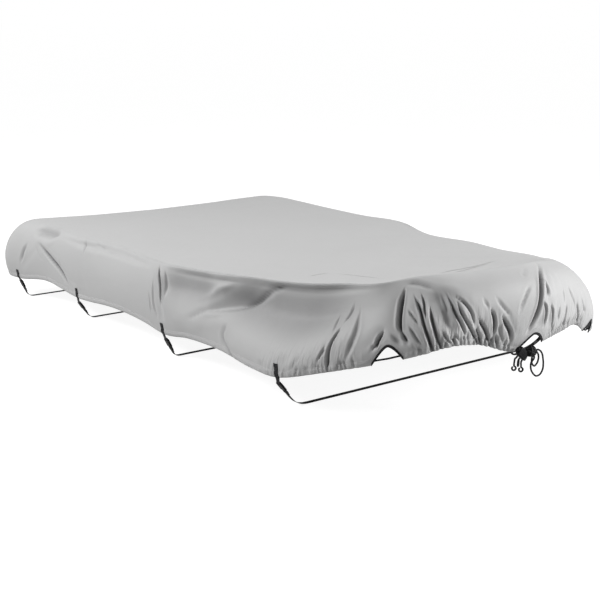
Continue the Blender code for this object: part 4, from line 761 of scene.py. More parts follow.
def calm(place, down):
    """1 where folds keep their depth, 0 under the strap ends and beside the arches."""
    low = ease((down - CALM_DOWN) / CALM_EASE)
    keep = np.ones_like(place)
    for strap in sum(STRAP_PLACES, []):
        keep = np.minimum(keep, ease((np.abs(place - strap) - STRAP_CALM[0]) / STRAP_CALM[1]))
    for _, middle, half_width, _ in ARCHES:
        beside = ease((np.abs(place - middle) - half_width - ARCH_CALM[0]) / ARCH_CALM[1])
        keep = np.minimum(keep, ARCH_LEFT + (1 - ARCH_LEFT) * beside)
    return 1 - low * (1 - keep)


PUFF_EASE = 0.25           # the hem fills out over this share of an arch's half width beside it


def hem_puff(place, above_edge):
    """How far the hem stands out over the cord; nothing inside the arches."""
    share = np.clip(above_edge / HEM_DEPTH, 0, 1)
    puff = HEM_PUFF * np.sqrt(4 * share * (1 - share))
    for _, middle, half_width, _ in ARCHES:
        puff = puff * ease((np.abs(place - middle) / half_width - 1.0) / PUFF_EASE)
    return puff


SMALL_ALONG = 0.004        # steps between which the lie of the cloth is measured
SMALL_DOWN = 0.01


def side_point(place, down, lift=0.0):
    """Points and outward normals of the folded cloth's outer face."""
    point = drape(place, down)
    step_along = drape(place + SMALL_ALONG, down) - drape(place - SMALL_ALONG, down)
    step_down = (drape(place, np.minimum(down + SMALL_DOWN, 1))
                 - drape(place, np.maximum(down - SMALL_DOWN, 0)))
    normal = np.cross(step_down, step_along)
    normal /= np.linalg.norm(normal, axis=1)[:, None]
    above_edge = (1 - down) * side_length(place) - rise_of_hem(place)
    move = FOLD_SHARE * fold_depth(place, down) + crease_depth(place, down, CREASES)
    move *= calm(place, down)
    move *= HEM_SHARE + (1 - HEM_SHARE) * ease(above_edge / HEM_EASE)
    move += gather(place, above_edge) * calm(place, np.ones_like(down))
    move += hem_puff(place, above_edge) + lift
    return point + normal * move[:, None], normal


def down_at(place, above_edge):
    """Share of the way down the side for a height above the lower edge of the cloth."""
    return 1 - (above_edge + rise_of_hem(place)) / side_length(place)


# Rows of corners: shares of the way out from the middle line of the top to its edge, rows down a
# side, and heights of the rows in the hem above its lower edge.
TOP_SHARES = (0.0, 0.36, 0.66, 0.86, 0.96)
SIDE_COUNT = 34
HEM_HEIGHTS = (0.030, 0.0265, 0.0240, 0.0215, 0.0170, 0.0120, 0.0070, 0.0030, 0.0)

# Column spacing along the girth, finer where the folds are: where each stretch ends and its
# spacing. The two halves meet near the bow.
HALVES_MEET = -0.12
PITCH_COLUMNS = ("to_place", "pitch")
NEAR_PITCH = (
    ("stern", -3.30, 0.050),
    ("turn", -3.06, 0.030),
    ("star", -2.50, 0.0085),
    ("ridge lines", -2.22, 0.012),
    ("side", -1.83, 0.034),
    ("pleat", -1.68, 0.0029),
    ("swag aft", -1.44, 0.018),
    ("swag", -1.02, 0.0085),
    ("swell", -0.88, 0.018),
    ("strap", -0.74, 0.0058),
    ("folds", HALVES_MEET, 0.0024),
)
FAR_PITCH = (
    ("folds", 0.56, 0.0025),
    ("quarter", 1.00, 0.0062),
    ("swag", 1.84, 0.022),
    ("pleat", 2.02, 0.0080),
    ("side", 2.55, 0.050),
    ("star", 3.22, 0.012),
    ("stern", PLACES[-1], 0.050),
)


def columns(start, pitches):
    """Places of the columns from a start through each stretch in turn."""
    places = []
    for _, end, pitch in pitches:
        count = round((end - start) / pitch)
        places += [start + (end - start) * step / count for step in range(count)]
        start = end
    return places + [start]


def level(places, count):
    """Splits the widest gaps between columns until there are enough of them."""
    while len(places) < count:
        widest = int(np.argmax(np.diff(places)))
        places.insert(widest + 1, (places[widest] + places[widest + 1]) / 2)
    return places


def cover_grid():
    """Corners of the sheet, their place on it and their marks, from the middle to the hem."""
    near = columns(PLACES[0], NEAR_PITCH)
    far = columns(HALVES_MEET, FAR_PITCH)
    count = max(len(near), len(far))
    near = level(near, count)
    far = level(far, count)[1:]
    place = np.array(near + far)
    ridge = smooth(PLACES, ROWS, place)[:, 1:4]
    half = len(near)
    middle_y = np.clip(ridge[:, 1], SPINE_FORE, SPINE_AFT)
    middle_y[half:] = middle_y[:half - 1][::-1]
    stations = np.array([row[0] for row in MIDDLE])
    heights = np.array([(row[1],) for row in MIDDLE])
    middle_z = smooth(-stations, heights, -middle_y)[:, 0]
    grid, laid, painted_shade, pull = [], [], [], []
    for share in TOP_SHARES:
        x = ridge[:, 0] * share
        y = middle_y + (ridge[:, 1] - middle_y) * share
        z = middle_z + (ridge[:, 2] - middle_z) * share ** 2
        grid.append(np.stack((x, y, z), axis=-1))
        laid.append(np.stack((x, y), axis=-1))
        painted_shade.append(np.zeros_like(place))
        pull.append(np.zeros_like(place))
    top_of_hem = down_at(place, HEM_HEIGHTS[0])
    downs = [share * top_of_hem for share in np.linspace(0, 1, SIDE_COUNT, endpoint=False)]
    downs += [down_at(place, height) for height in HEM_HEIGHTS]
    length = side_length(place)
    for down in downs:
        grid.append(side_point(place, down)[0])
        laid.append(np.stack((place, -down * length), axis=-1))
        # Share of painted shade at each corner, kept as a mark for the cloth's colour.
        painted_shade.append(settled(place, down))
        pull.append(drawn(place, (1 - down) * length - rise_of_hem(place)))
    grid = np.array(grid)
    grid[:, -1] = grid[:, 0]
    marks = {"settled": np.array(painted_shade), "drawn": np.array(pull)}
    return grid - UP * HOLD_HEIGHT, np.array(laid), marks


SAME_POINT = 0.00002       # corners closer than this are one


def sheet_mesh(name, grid, laid, marks={}):
    """A mesh over rows of points, with the UV map "laid" in metres and named marks per point."""
    rows, across = grid.shape[:2]
    corner = np.arange(rows * across).reshape(rows, across)
    faces = np.stack((corner[:-1, :-1], corner[1:, :-1], corner[1:, 1:], corner[:-1, 1:]), axis=-1)
    faces = faces.reshape(-1, 4)
    mesh = bpy.data.meshes.new(name)
    mesh.from_pydata(grid.reshape(-1, 3).tolist(), [], faces.tolist())
    spots = laid.reshape(-1, 2)[faces.reshape(-1)]
    mesh.uv_layers.new(name="laid").data.foreach_set("uv", spots.reshape(-1))
    for mark, shares in marks.items():
        mesh.attributes.new(mark, "FLOAT", "POINT").data.foreach_set("value", shares.reshape(-1))
    made = bmesh.new()
    made.from_mesh(mesh)
    bmesh.ops.remove_doubles(made, verts=made.verts, dist=SAME_POINT)
    made.to_mesh(mesh)
    made.free()
    mesh.shade_smooth()
    return mesh


def show(name, mesh, finish):
    """Sets a mesh up as a piece of the cover, with its finish."""
    piece = bpy.data.objects.new(name, mesh)
    bpy.context.scene.collection.objects.link(piece)
    mesh.materials.append(finish.material)
    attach(piece, "root")
    return piece


cover_mesh = sheet_mesh("cover cloth", *cover_grid())
cover = show("cover_cloth", cover_mesh, cloth_finish)
thickness = cover.modifiers.new("thickness", "SOLIDIFY")
thickness.thickness = CLOTH
thickness.offset = -1.0
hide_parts("cover")


# ---------------------------------------------------------------- hem stitching
# The hem is turned up and sewn down with one row of grey polyester lockstitch, just under its
# upper edge. Each visible stitch is a short oval of thread.
HEM_SEAM = 0.0220          # height of the row above the lower edge
STITCH_PITCH = 0.0044
STITCH_LENGTH = 0.0034
THREAD_WIDTH = 0.0007
SEAM_COLUMNS = 3200
SEAM_LIFT = 0.0002         # middle of the thread above the cloth
STITCH_SEED = 3
STITCH_UNEVEN = (0.86, 1.10)       # shortest and longest stitch, as shares of the length
STITCH_INPUTS = (("Geometry", "Geometry"), ("Pitch", "Float"), ("Length", "Float"),
                 ("Width", "Float"), ("Seed", "Int"), ("Thread", "Material"))

thread_finish = Finish("polyester thread", Roughness=0.55, Sheen_Weight=0.3, Sheen_Roughness=0.4)
thread_twist = (thread_finish.laid()[0] * 5200.0).math("SINE") * 0.5 + 0.5
thread_tone = thread_finish.noise(thread_finish.place(), 180.0)
# Painted shade: the thread is darker in the hollows of its twist, where its colour follows the twist's
# height.
thread_light = (thread_tone * 0.6 + thread_twist * 0.4).clamped()
thread_finish.feed("Base Color", thread_finish.blend(thread_light, grey(0.20), grey(0.31)))
thread_finish.relief((thread_twist, 0.0001))


def stitch_tree():
    """Geometry nodes: oval stitches along the edges of a mesh, a little uneven in length."""
    tree = bpy.data.node_groups.new("stitches", "GeometryNodeTree")
    for label, kind in STITCH_INPUTS:
        tree.interface.new_socket(label, in_out="INPUT", socket_type="NodeSocket" + kind)
    tree.interface.new_socket("Geometry", in_out="OUTPUT", socket_type="NodeSocketGeometry")
    wires = Wiring(tree)
    given = tree.nodes.new("NodeGroupInput").outputs
    lines, pitch, length, width, seed, thread = [Value(wires, given[label])
                                                 for label, _ in STITCH_INPUTS]
    curve = wires.node("GeometryNodeMeshToCurve", {}, Mesh=lines)
    spaced = wires.node("GeometryNodeResampleCurve", {"mode": "LENGTH"}, Curve=curve, Length=pitch)
    tangent = wires.node("GeometryNodeInputTangent", {})
    aim = wires.node("FunctionNodeAlignRotationToVector", {"axis": "X"}, Vector=tangent)
    oval = wires.node("GeometryNodeMeshUVSphere", {}, Segments=6, Rings=4, Radius=0.5)
    uneven = wires.node("FunctionNodeRandomValue", {"data_type": "FLOAT"}, None, None,
                        *STITCH_UNEVEN, Seed=seed, output=1)
    size = wires.node("ShaderNodeCombineXYZ", {}, length * uneven, width, width)
    placed = wires.node("GeometryNodeInstanceOnPoints", {}, Points=spaced, Instance=oval,
                        Rotation=aim, Scale=size)
    real = wires.node("GeometryNodeRealizeInstances", {}, Geometry=placed)
    coloured = wires.node("GeometryNodeSetMaterial", {}, Geometry=real, Material=thread)
    tree.links.new(coloured.socket, tree.nodes.new("NodeGroupOutput").inputs["Geometry"])
    return tree


STITCHES = stitch_tree()


def applied(piece):
    """Replaces a piece's mesh by the one its modifiers make."""
    bpy.context.view_layer.update()
    shown = piece.evaluated_get(bpy.context.evaluated_depsgraph_get())
    mesh = bpy.data.meshes.new_from_object(shown)
    piece.modifiers.clear()
    piece.data = mesh
    return mesh


def stitch(name, lines, finish, slot, pitch=STITCH_PITCH, length=STITCH_LENGTH,
           width=THREAD_WIDTH):
    """One piece with a row of stitches along each line of points."""
    corners = []
    edges = []
    for line in lines:
        first = len(corners)
        corners += [tuple(point) for point in line]
        edges += [(first + step, first + step + 1) for step in range(len(line) - 1)]
    mesh = bpy.data.meshes.new(name)
    mesh.from_pydata(corners, edges, [])
    piece = bpy.data.objects.new(name, mesh)
    bpy.context.scene.collection.objects.link(piece)
    sewn = piece.modifiers.new("stitches", "NODES")
    sewn.node_group = STITCHES
    given = {"Pitch": pitch, "Length": length, "Width": width, "Seed": STITCH_SEED,
             "Thread": finish.material}
    for socket in STITCHES.interface.items_tree:
        if socket.in_out == "INPUT" and socket.name in given:
            sewn[socket.identifier] = given[socket.name]
    made = applied(piece)
    made.name = name
    ends = np.zeros(len(made.vertices) * 3)
    made.vertices.foreach_get("co", ends)
    loops = np.zeros(len(made.loops), dtype=int)
    made.loops.foreach_get("vertex_index", loops)
    spots = ends.reshape(-1, 3)[loops][:, :2]
    made.uv_layers.new(name="laid").data.foreach_set("uv", spots.reshape(-1))
    made.shade_smooth()
    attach(piece, "root")
    return piece


seam_place = np.linspace(PLACES[0], PLACES[-1], SEAM_COLUMNS)
seam_line = side_point(seam_place, down_at(seam_place, HEM_SEAM), SEAM_LIFT)[0]
seam_line = seam_line - UP * HOLD_HEIGHT
stitch("hem_stitching", [seam_line], thread_finish, "grey_cloth")


# ---------------------------------------------------------------- arch bindings
# Black woven tape folded over the cut edge of each arch in the hem and sewn through both leaves,
# so the edge can't fray where the drawcord comes out.
GAP = 0.0003               # left between two pieces that lie on each other
BINDING_WIDTH = 0.0075     # height of each leaf
BINDING_THICK = 0.0012
BINDING_LIMIT = 0.0112     # greatest height of a leaf on the steep parts of an arch
BINDING_STEPS = 48
BINDING_STITCH = (0.0030, 0.0023, 0.0005)      # pitch, length and width of its stitches
BINDING_SEAM_LIFT = 0.0001

tape_finish = Finish("black binding tape", Roughness=0.75, Sheen_Weight=0.06, Sheen_Roughness=0.5,
                     Specular_IOR_Level=0.15)
tape_along, tape_across = tape_finish.laid()
tape_ribs = (tape_along * (math.pi / 0.0007)).math("SINE").math("ABSOLUTE")
tape_weft = (tape_across * (math.pi / 0.0011)).math("SINE").math("ABSOLUTE")
tape_wear = tape_finish.noise(tape_finish.place(), 90.0, 3.0)
# Painted shade: the tape is darker between its ribs, where its colour follows their height.
tape_tone = (tape_ribs * 0.3 + tape_wear * 0.5).clamped()
tape_finish.feed("Base Color", tape_finish.blend(tape_tone, grey(0.005, 0.001),
                                                 grey(0.016, 0.001)))
tape_finish.feed("Roughness", tape_wear * 0.2 + 0.62)
tape_finish.relief((tape_ribs, 0.00018), (tape_weft, 0.00008))


def binding_grid(middle, half_width, height):
    """Tape folded over the edge of one arch, from the top of its outer leaf round to the inner."""
    step = np.linspace(-1, 1, BINDING_STEPS + 1)
    place = middle + half_width * step
    slope = height * ARCH_POWER * np.abs(step) ** (ARCH_POWER - 1) / half_width
    leaf = np.minimum(BINDING_WIDTH * np.sqrt(1 + slope ** 2), BINDING_LIMIT)
    edge, normal = side_point(place, down_at(place, 0.0))
    top, _ = side_point(place, down_at(place, leaf))
    down = edge - top
    down /= np.linalg.norm(down, axis=1)[:, None]
    clear = 3 * GAP + BINDING_THICK / 2
    half = clear + CLOTH / 2
    core = edge - normal * CLOTH / 2
    rows = [top + normal * clear, (top + edge) / 2 + normal * clear]
    rows += [core + normal * half * math.cos(turn) + down * clear * math.sin(turn)
             for turn in np.linspace(0, math.pi, 7)]
    rows += [(top + edge) / 2 - normal * (CLOTH + clear), top - normal * (CLOTH + clear)]
    grid = np.array(rows)
    depth = np.concatenate(((0.0,), np.cumsum(np.linalg.norm(np.diff(grid, axis=0), axis=2)[:, 0])))
    laid = np.stack(np.meshgrid(place, depth), axis=-1)
    return grid - UP * HOLD_HEIGHT, laid


def tape(name, grid, laid, thick, finish):
    """A piece of tape or webbing from the grid of its middle layer."""
    piece = show(name, sheet_mesh(name, grid, laid), finish)
    shell = piece.modifiers.new("thickness", "SOLIDIFY")
    shell.thickness = thick
    shell.offset = 0.0
    return piece


black_thread = Finish("black thread", Roughness=0.5, Sheen_Weight=0.3, Sheen_Roughness=0.4)
black_twist = black_thread.noise(black_thread.place(), 260.0)
black_thread.feed("Base Color", black_thread.blend(black_twist, grey(0.012, 0.001),
                                                   grey(0.045, 0.003)))
black_thread.relief((black_twist, 0.0001))
for label, middle, half_width, height in ARCHES:
    grid, laid = binding_grid(middle, half_width, height)
    binding = tape("binding_tape_" + label, grid, laid, BINDING_THICK, tape_finish)
    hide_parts("binding_" + label)
    sewn = grid[0] * 0.75 + grid[1] * 0.25
    outward_lift = grid[0] - grid[-1]
    outward_lift /= np.linalg.norm(outward_lift, axis=1)[:, None]
    sewn = (sewn + outward_lift * (BINDING_THICK / 2 + BINDING_SEAM_LIFT))[2:-2]
    stitch("binding_stitching_" + label, [sewn], black_thread, "black_tape", *BINDING_STITCH)


# ---------------------------------------------------------------- buckles
# Side-release buckles moulded in black acetal, a socket and a plug on each strap. They hang closed
# against the hull's side, below the near edge of the cover. Their edges are rounded here.
plastic_finish = Finish("black acetal", Roughness=0.5, Specular_IOR_Level=0.12)
plastic_place = plastic_finish.place()
plastic_grain = plastic_finish.noise(plastic_place, 900.0, 2.0, 0.6)
plastic_wear = plastic_finish.noise(plastic_place, 120.0, 4.0, 0.6)
plastic_finish.feed("Base Color", plastic_finish.blend(plastic_wear, grey(0.006, 0.001),
                                                       grey(0.015, 0.001)))
plastic_finish.feed("Roughness", plastic_wear * 0.25 + 0.28)
plastic_finish.relief((plastic_grain, 0.00006), (plastic_wear, 0.00010))


SAME_CORNER = 0.00001
FLAT_DEGREES = 1.0         # triangles that lean less than this to each other are one face
BUCKLE_EDGE = 0.00045      # radius of the moulded edges
BUCKLE_SHARP = 35          # degrees


def merged_copy(name, node):
    """A copy of a CAD node's mesh with its loose triangles joined into whole faces."""
    part = bpy.data.objects[node]
    made = bmesh.new()
    made.from_mesh(part.data)
    bmesh.ops.transform(made, matrix=part.matrix_world, verts=made.verts)
    bmesh.ops.remove_doubles(made, verts=made.verts, dist=SAME_CORNER)
    bmesh.ops.dissolve_limit(made, angle_limit=math.radians(FLAT_DEGREES), verts=made.verts,
                             edges=made.edges)
    mesh = bpy.data.meshes.new(name)
    made.to_mesh(mesh)
    made.free()
    mesh.materials.clear()
    return mesh


for number in (1, 2, 3, 4):
    for half in ("socket", "plug"):
        node = "buckle_" + half + "_" + str(number)
        moulding = show("moulded_" + half + "_" + str(number), merged_copy(node, node),
                        plastic_finish)
        edge = moulding.modifiers.new("edges", "BEVEL")
        edge.width = BUCKLE_EDGE
        edge.segments = 2
        edge.limit_method = "ANGLE"
        edge.angle_limit = math.radians(BUCKLE_SHARP)
        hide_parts(node)


# ---------------------------------------------------------------- straps
# Flat black polyester webbing, 20 mm wide. A short strap hangs from the near hem to each socket;
# a long one runs from the plug under the hull and is sewn over the far hem.
WEB_WIDTH = 0.020
WEB_THICK = 0.0016
KEEL_GAP = 0.0012          # underside of the webbing above the lowest level
PATCH_LIFT = 2 * GAP + WEB_THICK / 2
LOOP_RADIUS = 0.0031       # middle of the webbing where it turns round a bar
BAR_FROM_MIDDLE = 0.0250   # the buckle's webbing bars
WEB_ACROSS = (-0.5, -0.47, -0.24, 0.0, 0.24, 0.47, 0.5)        # corners across it, as shares
PATCH_HEIGHT = 0.050       # the sewn end reaches this far up the cloth
PATCH_STEPS = 10
FREE_END = (0.0022, 0.0072)        # where a short strap's end stops, inward and up from its bar
PLUG_END = ((-0.0400, -0.0011), (-0.0330, -0.0014))    # a long strap's end, and how the strap
PLUG_LEAVE = ((-0.0330, 0.0014), (-0.0420, 0.0011))    # itself leaves: along the buckle and out
BEND_REACH = 0.45          # share of its span over which a strap keeps its direction
FAR_BEND = (0.075, 0.050)  # how far it keeps the lowest level, and stays upright, on the far side
UNDER_FAR_HEM = (0.004, 0.0, 0.014)            # where it ends, inside and below the hem's edge
BOX_STITCH = (0.0029, 0.0022, 0.0006)          # pitch, length and width of its stitches
BOX_HALF_WIDTH = 0.0072
BOX_LOW = 0.90             # its lower and upper rows, as shares of the way down the patch
BOX_HIGH = 0.10
BOX_STEPS = 15
ALONG_Y = np.array((0.0, 1.0, 0.0))

# A row per strap from stern to bow: the middle and the lean of its buckle (degrees from
# upright), where it meets the lowest level on each side, and the slant of its end sewn to the
# cover (girth place per metre of height).
STRAP_COLUMNS = ("buckle_x", "buckle_z", "lean", "floor_x", "far_floor_x", "slant")
STRAPS = (
    ("1", -0.7575, 0.0660, 23.0, -0.680, 0.640, 0.0),
    ("2", -0.7160, 0.0605, 34.0, -0.645, 0.600, 0.0),
    ("3", -0.7140, 0.0585, 27.0, -0.660, 0.600, 0.0),
    ("4", -0.7200, 0.0820, 39.0, -0.600, 0.560, -0.42),
)

web_finish = Finish("black webbing", Roughness=0.72, Sheen_Weight=0.06, Sheen_Roughness=0.45,
                    Specular_IOR_Level=0.15)
web_along, web_across = web_finish.laid()
web_weave = plain_weave(web_finish, web_along + web_across * 0.35, web_across, 0.0013)
web_ribs = (web_across * (math.pi / 0.0033)).math("SINE").math("ABSOLUTE")
web_fuzz = web_finish.noise(web_finish.place(), 60.0, 3.0)
# Painted shade: the webbing is darker in the hollows of its weave, where its colour follows the weave's
# height.
web_tone = (web_weave * 0.45 + web_fuzz * 0.5).clamped()
web_finish.feed("Base Color", web_finish.blend(web_tone, grey(0.005, 0.001), grey(0.018, 0.001)))
web_finish.feed("Roughness", web_fuzz * 0.2 + 0.6)
web_finish.relief((web_ribs, 0.00015), (web_weave, 0.00022))


def patch(place, slant=0.0):
    """Middle line, sideways and outward directions of a strap sewn flat over the hem."""
    points = []
    for height in np.linspace(PATCH_HEIGHT, 0.0, PATCH_STEPS + 1):
        sides = place + slant * height + np.array((-1, 0, 1)) * WEB_WIDTH / 2
        point, normal = side_point(sides, down_at(sides, height), PATCH_LIFT)
        sideways = point[2] - point[0]
        sideways /= np.linalg.norm(sideways)
        points.append(((point[0] + point[2]) / 2, sideways, normal[1]))
    return points


def buckle_point(buckle, along, out):
    """A point in the upright plane of a strap, from its place on the buckle."""
    x, y, z, lean = buckle
    sine, cosine = math.sin(lean), math.cos(lean)
    return np.array((x - sine * along - cosine * out, y, z + cosine * along - sine * out))


def turn_round(centre, toward, out):
    """Half a turn of webbing round a bar, from its outer side, past "toward", to its inner side."""
    return [centre + LOOP_RADIUS * (out * math.cos(a) + toward * math.sin(a))
            for a in np.linspace(0, math.pi, 13)]


def bend(start, start_lead, end_lead, end, steps):
    """Points of a smooth curve that leaves and arrives in the directions of its two leads."""
    t = np.linspace(0, 1, steps + 1)[:, None]
    return list((1 - t) ** 3 * start + 3 * (1 - t) ** 2 * t * start_lead
                + 3 * (1 - t) * t ** 2 * end_lead + t ** 3 * end)


def webbing(name, middles, sideways, node):
    """A strip of webbing from its middle line and sideways directions."""
    middles = np.array(middles) - UP * HOLD_HEIGHT
    sideways = np.array(sideways)
    sideways /= np.linalg.norm(sideways, axis=1)[:, None]
    across = np.array(WEB_ACROSS) * WEB_WIDTH
    grid = middles[None] + sideways[None] * across[:, None, None]
    steps = np.linalg.norm(np.diff(middles, axis=0), axis=1)
    along = np.concatenate(((0.0,), np.cumsum(steps)))
    laid = np.stack(np.meshgrid(along, across), axis=-1)
    strip = tape(name, grid, laid, WEB_THICK, web_finish)
    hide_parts(node)


def box_seam(name, sewn):
    """The box of stitches, crossed corner to corner, that holds a strap to the hem."""
    heights = np.linspace(0, 1, len(sewn))

    def spot(height, across):
        middle, side, normal = [np.array([np.interp(height, heights, column)
                                          for column in np.array([row[part] for row in sewn]).T])
                                for part in range(3)]
        return middle + side * across + normal * (WEB_THICK / 2 + SEAM_LIFT) - UP * HOLD_HEIGHT

    low_left, low_right, high_right, high_left = [
        np.array((height, across)) for height, across in (
            (BOX_LOW, -BOX_HALF_WIDTH), (BOX_LOW, BOX_HALF_WIDTH),
            (BOX_HIGH, BOX_HALF_WIDTH), (BOX_HIGH, -BOX_HALF_WIDTH))]
    runs = ((low_left, low_right), (low_right, high_right), (high_right, high_left),
            (high_left, low_left), (low_left, high_right), (low_right, high_left))
    lines = [[spot(*(start + (end - start) * t)) for t in np.linspace(0, 1, BOX_STEPS)]
             for start, end in runs]
    stitch(name, lines, black_thread, "black_webbing", *BOX_STITCH)


floor_level = KEEL_GAP + WEB_THICK / 2
for strap, y, (near_place, far_place) in zip(STRAPS, STRAP_STATIONS, STRAP_PLACES):
    label, buckle_x, buckle_z, lean, floor_x, far_floor_x, slant = strap
    buckle = (buckle_x, y, buckle_z, math.radians(lean))

    sewn = patch(near_place, slant)
    box_seam("strap_stitching_near_" + label, sewn)
    middles = [point for point, _, _ in sewn]
    sideways = [-side for _, side, _ in sewn]
    bar = buckle_point(buckle, BAR_FROM_MIDDLE, 0.0)
    toward = bar - middles[-1]
    toward[1] = 0.0
    toward /= np.linalg.norm(toward)
    out = np.array((toward[2], 0.0, -toward[0]))
    turn = turn_round(bar, toward, out)
    free_end = bar - out * FREE_END[0] - toward * FREE_END[1]
    middles += [(middles[-1] + turn[0]) / 2, *turn, free_end]
    sideways += [ALONG_Y] * (len(middles) - len(sideways))
    webbing("webbing_short_" + label, middles, sideways, "strap_short_" + label)

    bar = buckle_point(buckle, -BAR_FROM_MIDDLE, 0.0)
    down_axis = buckle_point(buckle, -1.0, 0.0) - buckle_point(buckle, 0.0, 0.0)
    out = buckle_point(buckle, 0.0, 1.0) - buckle_point(buckle, 0.0, 0.0)
    turn = turn_round(bar, -down_axis, out)[::-1]
    start, leave = [buckle_point(buckle, *spot) for spot in PLUG_LEAVE]
    middles = [*(buckle_point(buckle, *spot) for spot in PLUG_END), *turn, start]
    floor = np.array((floor_x, y, floor_level))
    reach = BEND_REACH * np.linalg.norm(floor - leave)
    middles += bend(leave, leave + down_axis * reach, floor - np.array((reach, 0, 0)), floor, 16)
    sewn = patch(far_place)[::-1]
    box_seam("strap_stitching_far_" + label, sewn)
    edge = sewn[0][0]
    far_floor = np.array((far_floor_x, y, floor_level))
    under = edge - np.array(UNDER_FAR_HEM)
    middles += bend(far_floor, far_floor + np.array((FAR_BEND[0], 0, 0)),
                    under - UP * FAR_BEND[1], under, 18)
    sideways = [ALONG_Y] * len(middles)
    middles += [point for point, _, _ in sewn]
    sideways += [side if side[1] > 0 else -side for _, side, _ in sewn]
    webbing("webbing_long_" + label, middles, sideways, "strap_long_" + label)


# ---------------------------------------------------------------- drawcord and tie
# Black braided polyester cord. It runs in the hem, shows across the arches and comes out at both
# feet of the bow arch, where its ends are tied in a bow knot and held by a cord lock.
CORD_RADIUS = 0.0033
BINDING_CLEAR = 8 * GAP
HEM_MIDDLE = HEM_DEPTH / 2
BEHIND_BINDING = CLOTH + BINDING_THICK + BINDING_CLEAR + CORD_RADIUS
BEHIND_HEM = CLOTH + CORD_RADIUS - HEM_PUFF
CORD_CLEAR = {"near": 0.0018, "bow": 0.0030, "far": 0.0024}    # beside each arch, inside the hem
BRAID_SIDES = 24
BRAID_STEP = 0.0011
BRAID_STRANDS = 6          # strands that wind each way
BRAID_TWIST = 950.0        # radians per metre
BRAID_CORE = 0.93          # size between the strands and how far they stand out, as shares of the
BRAID_RISE = 0.09          # cord's radius
BRAID_END = 0.72           # size of a cut end, closed by heat

KNOT_CENTRE = np.array((-0.0570, -1.1520, 0.2430))
KNOT_RADIUS = 0.0180
LOCK_CENTRE = np.array((-0.1040, -1.1500, 0.2393))
LOCK_TILT = 40.9           # degrees that the barrel's length points below level
LOCK_SIZE = (0.050, 0.018, 0.033)
LEAD_INSIDE = (0.022, 0.014)       # points of the cord in the hem, beside the foot of an arch
KNOT_STRAIGHT = 0.005      # a cord leaves the knot or the lock straight over this length
LOCK_STRAIGHT = 0.008
END_RING_RADIUS = 0.0072
END_RING_CORD = 0.0037
END_RING_FACES = -30       # degrees that a tail's small loop is turned about the upright
END_RING_TURNS = (62, 30, 0, -30, -60, -90, -120, -150, 180, 150, 122)     # its points
END_RING_TAIL = 0.0022     # drop from a tail's last point to the loop

# Routes of the cord, a row per point. The leads run from an arch foot to the tie, a loop starts
# and ends at the knot or at the lock, and a tail ends in a small loop of its own.
LEAD_RIGHT = ((-0.0115, -1.1325, 0.2680), (-0.0240, -1.1395, 0.2688), (-0.0370, -1.1455, 0.2680))
LEAD_LEFT = ((-0.1180, -1.1065, 0.2400), (-0.1155, -1.1150, 0.2315), (-0.1105, -1.1260, 0.2320),
             (-0.1060, -1.1330, 0.2365), (-0.1042, -1.1398, 0.2372))
LOOP_LARGE = ((-0.026, -1.1645, 0.2385), (-0.0175, -1.166, 0.226), (-0.011, -1.165, 0.208),
              (-0.0065, -1.164, 0.187), (-0.008, -1.163, 0.165), (-0.019, -1.162, 0.150),
              (-0.038, -1.161, 0.147), (-0.054, -1.161, 0.158), (-0.067, -1.161, 0.177),
              (-0.070, -1.162, 0.200))
LOOP_MEDIUM = ((-0.027, -1.147, 0.232), (-0.017, -1.148, 0.219), (-0.017, -1.149, 0.202),
               (-0.025, -1.149, 0.187), (-0.037, -1.149, 0.181), (-0.047, -1.148, 0.190),
               (-0.050, -1.147, 0.208))
LOOP_SHORT = ((-0.1268, -1.1555, 0.2140), (-0.1275, -1.1560, 0.2050), (-0.1258, -1.1530, 0.1985),
              (-0.1225, -1.1480, 0.1965), (-0.1188, -1.1445, 0.2000), (-0.1180, -1.1440, 0.2085))
TAIL_LEFT = ((-0.1345, -1.1460, 0.2260), (-0.1385, -1.1460, 0.2140), (-0.1395, -1.1460, 0.2020))
TAIL_RIGHT = ((-0.1140, -1.1550, 0.2060), (-0.1130, -1.1550, 0.2000), (-0.1130, -1.1550, 0.1945))

cord_finish = Finish("black braided cord", Roughness=0.6, Sheen_Weight=0.06, Sheen_Roughness=0.4,
                     Specular_IOR_Level=0.15)
cord_along, cord_around = cord_finish.laid()
cord_fibre = (cord_along * 9000.0 + cord_around * 2200.0).math("SINE") * 0.5 + 0.5
cord_fuzz = cord_finish.noise(cord_finish.place(), 240.0, 3.0)
# Painted shade: the braid is darker in the gaps between its strands and lighter on their crests, from the
# strands' height that the mesh carries.
cord_tone = (cord_finish.mark("settled") * 0.5 + cord_fuzz * 0.4).clamped()
cord_finish.feed("Base Color", cord_finish.blend(cord_tone, grey(0.004, 0.001),
                                                 grey(0.022, 0.002)))
cord_finish.feed("Roughness", cord_fuzz * 0.2 + 0.5)
cord_finish.relief((cord_fibre, 0.00005), (cord_fuzz, 0.00008))


def spaced(route, step):
    """Points of a smooth curve through a route, evenly spaced."""
    route = np.array(route, dtype=float)
    along = np.concatenate(((0.0,), np.cumsum(np.linalg.norm(np.diff(route, axis=0), axis=1))))
    count = max(8, round(along[-1] / step))
    return smooth(along, route, np.linspace(0, along[-1], count + 1))


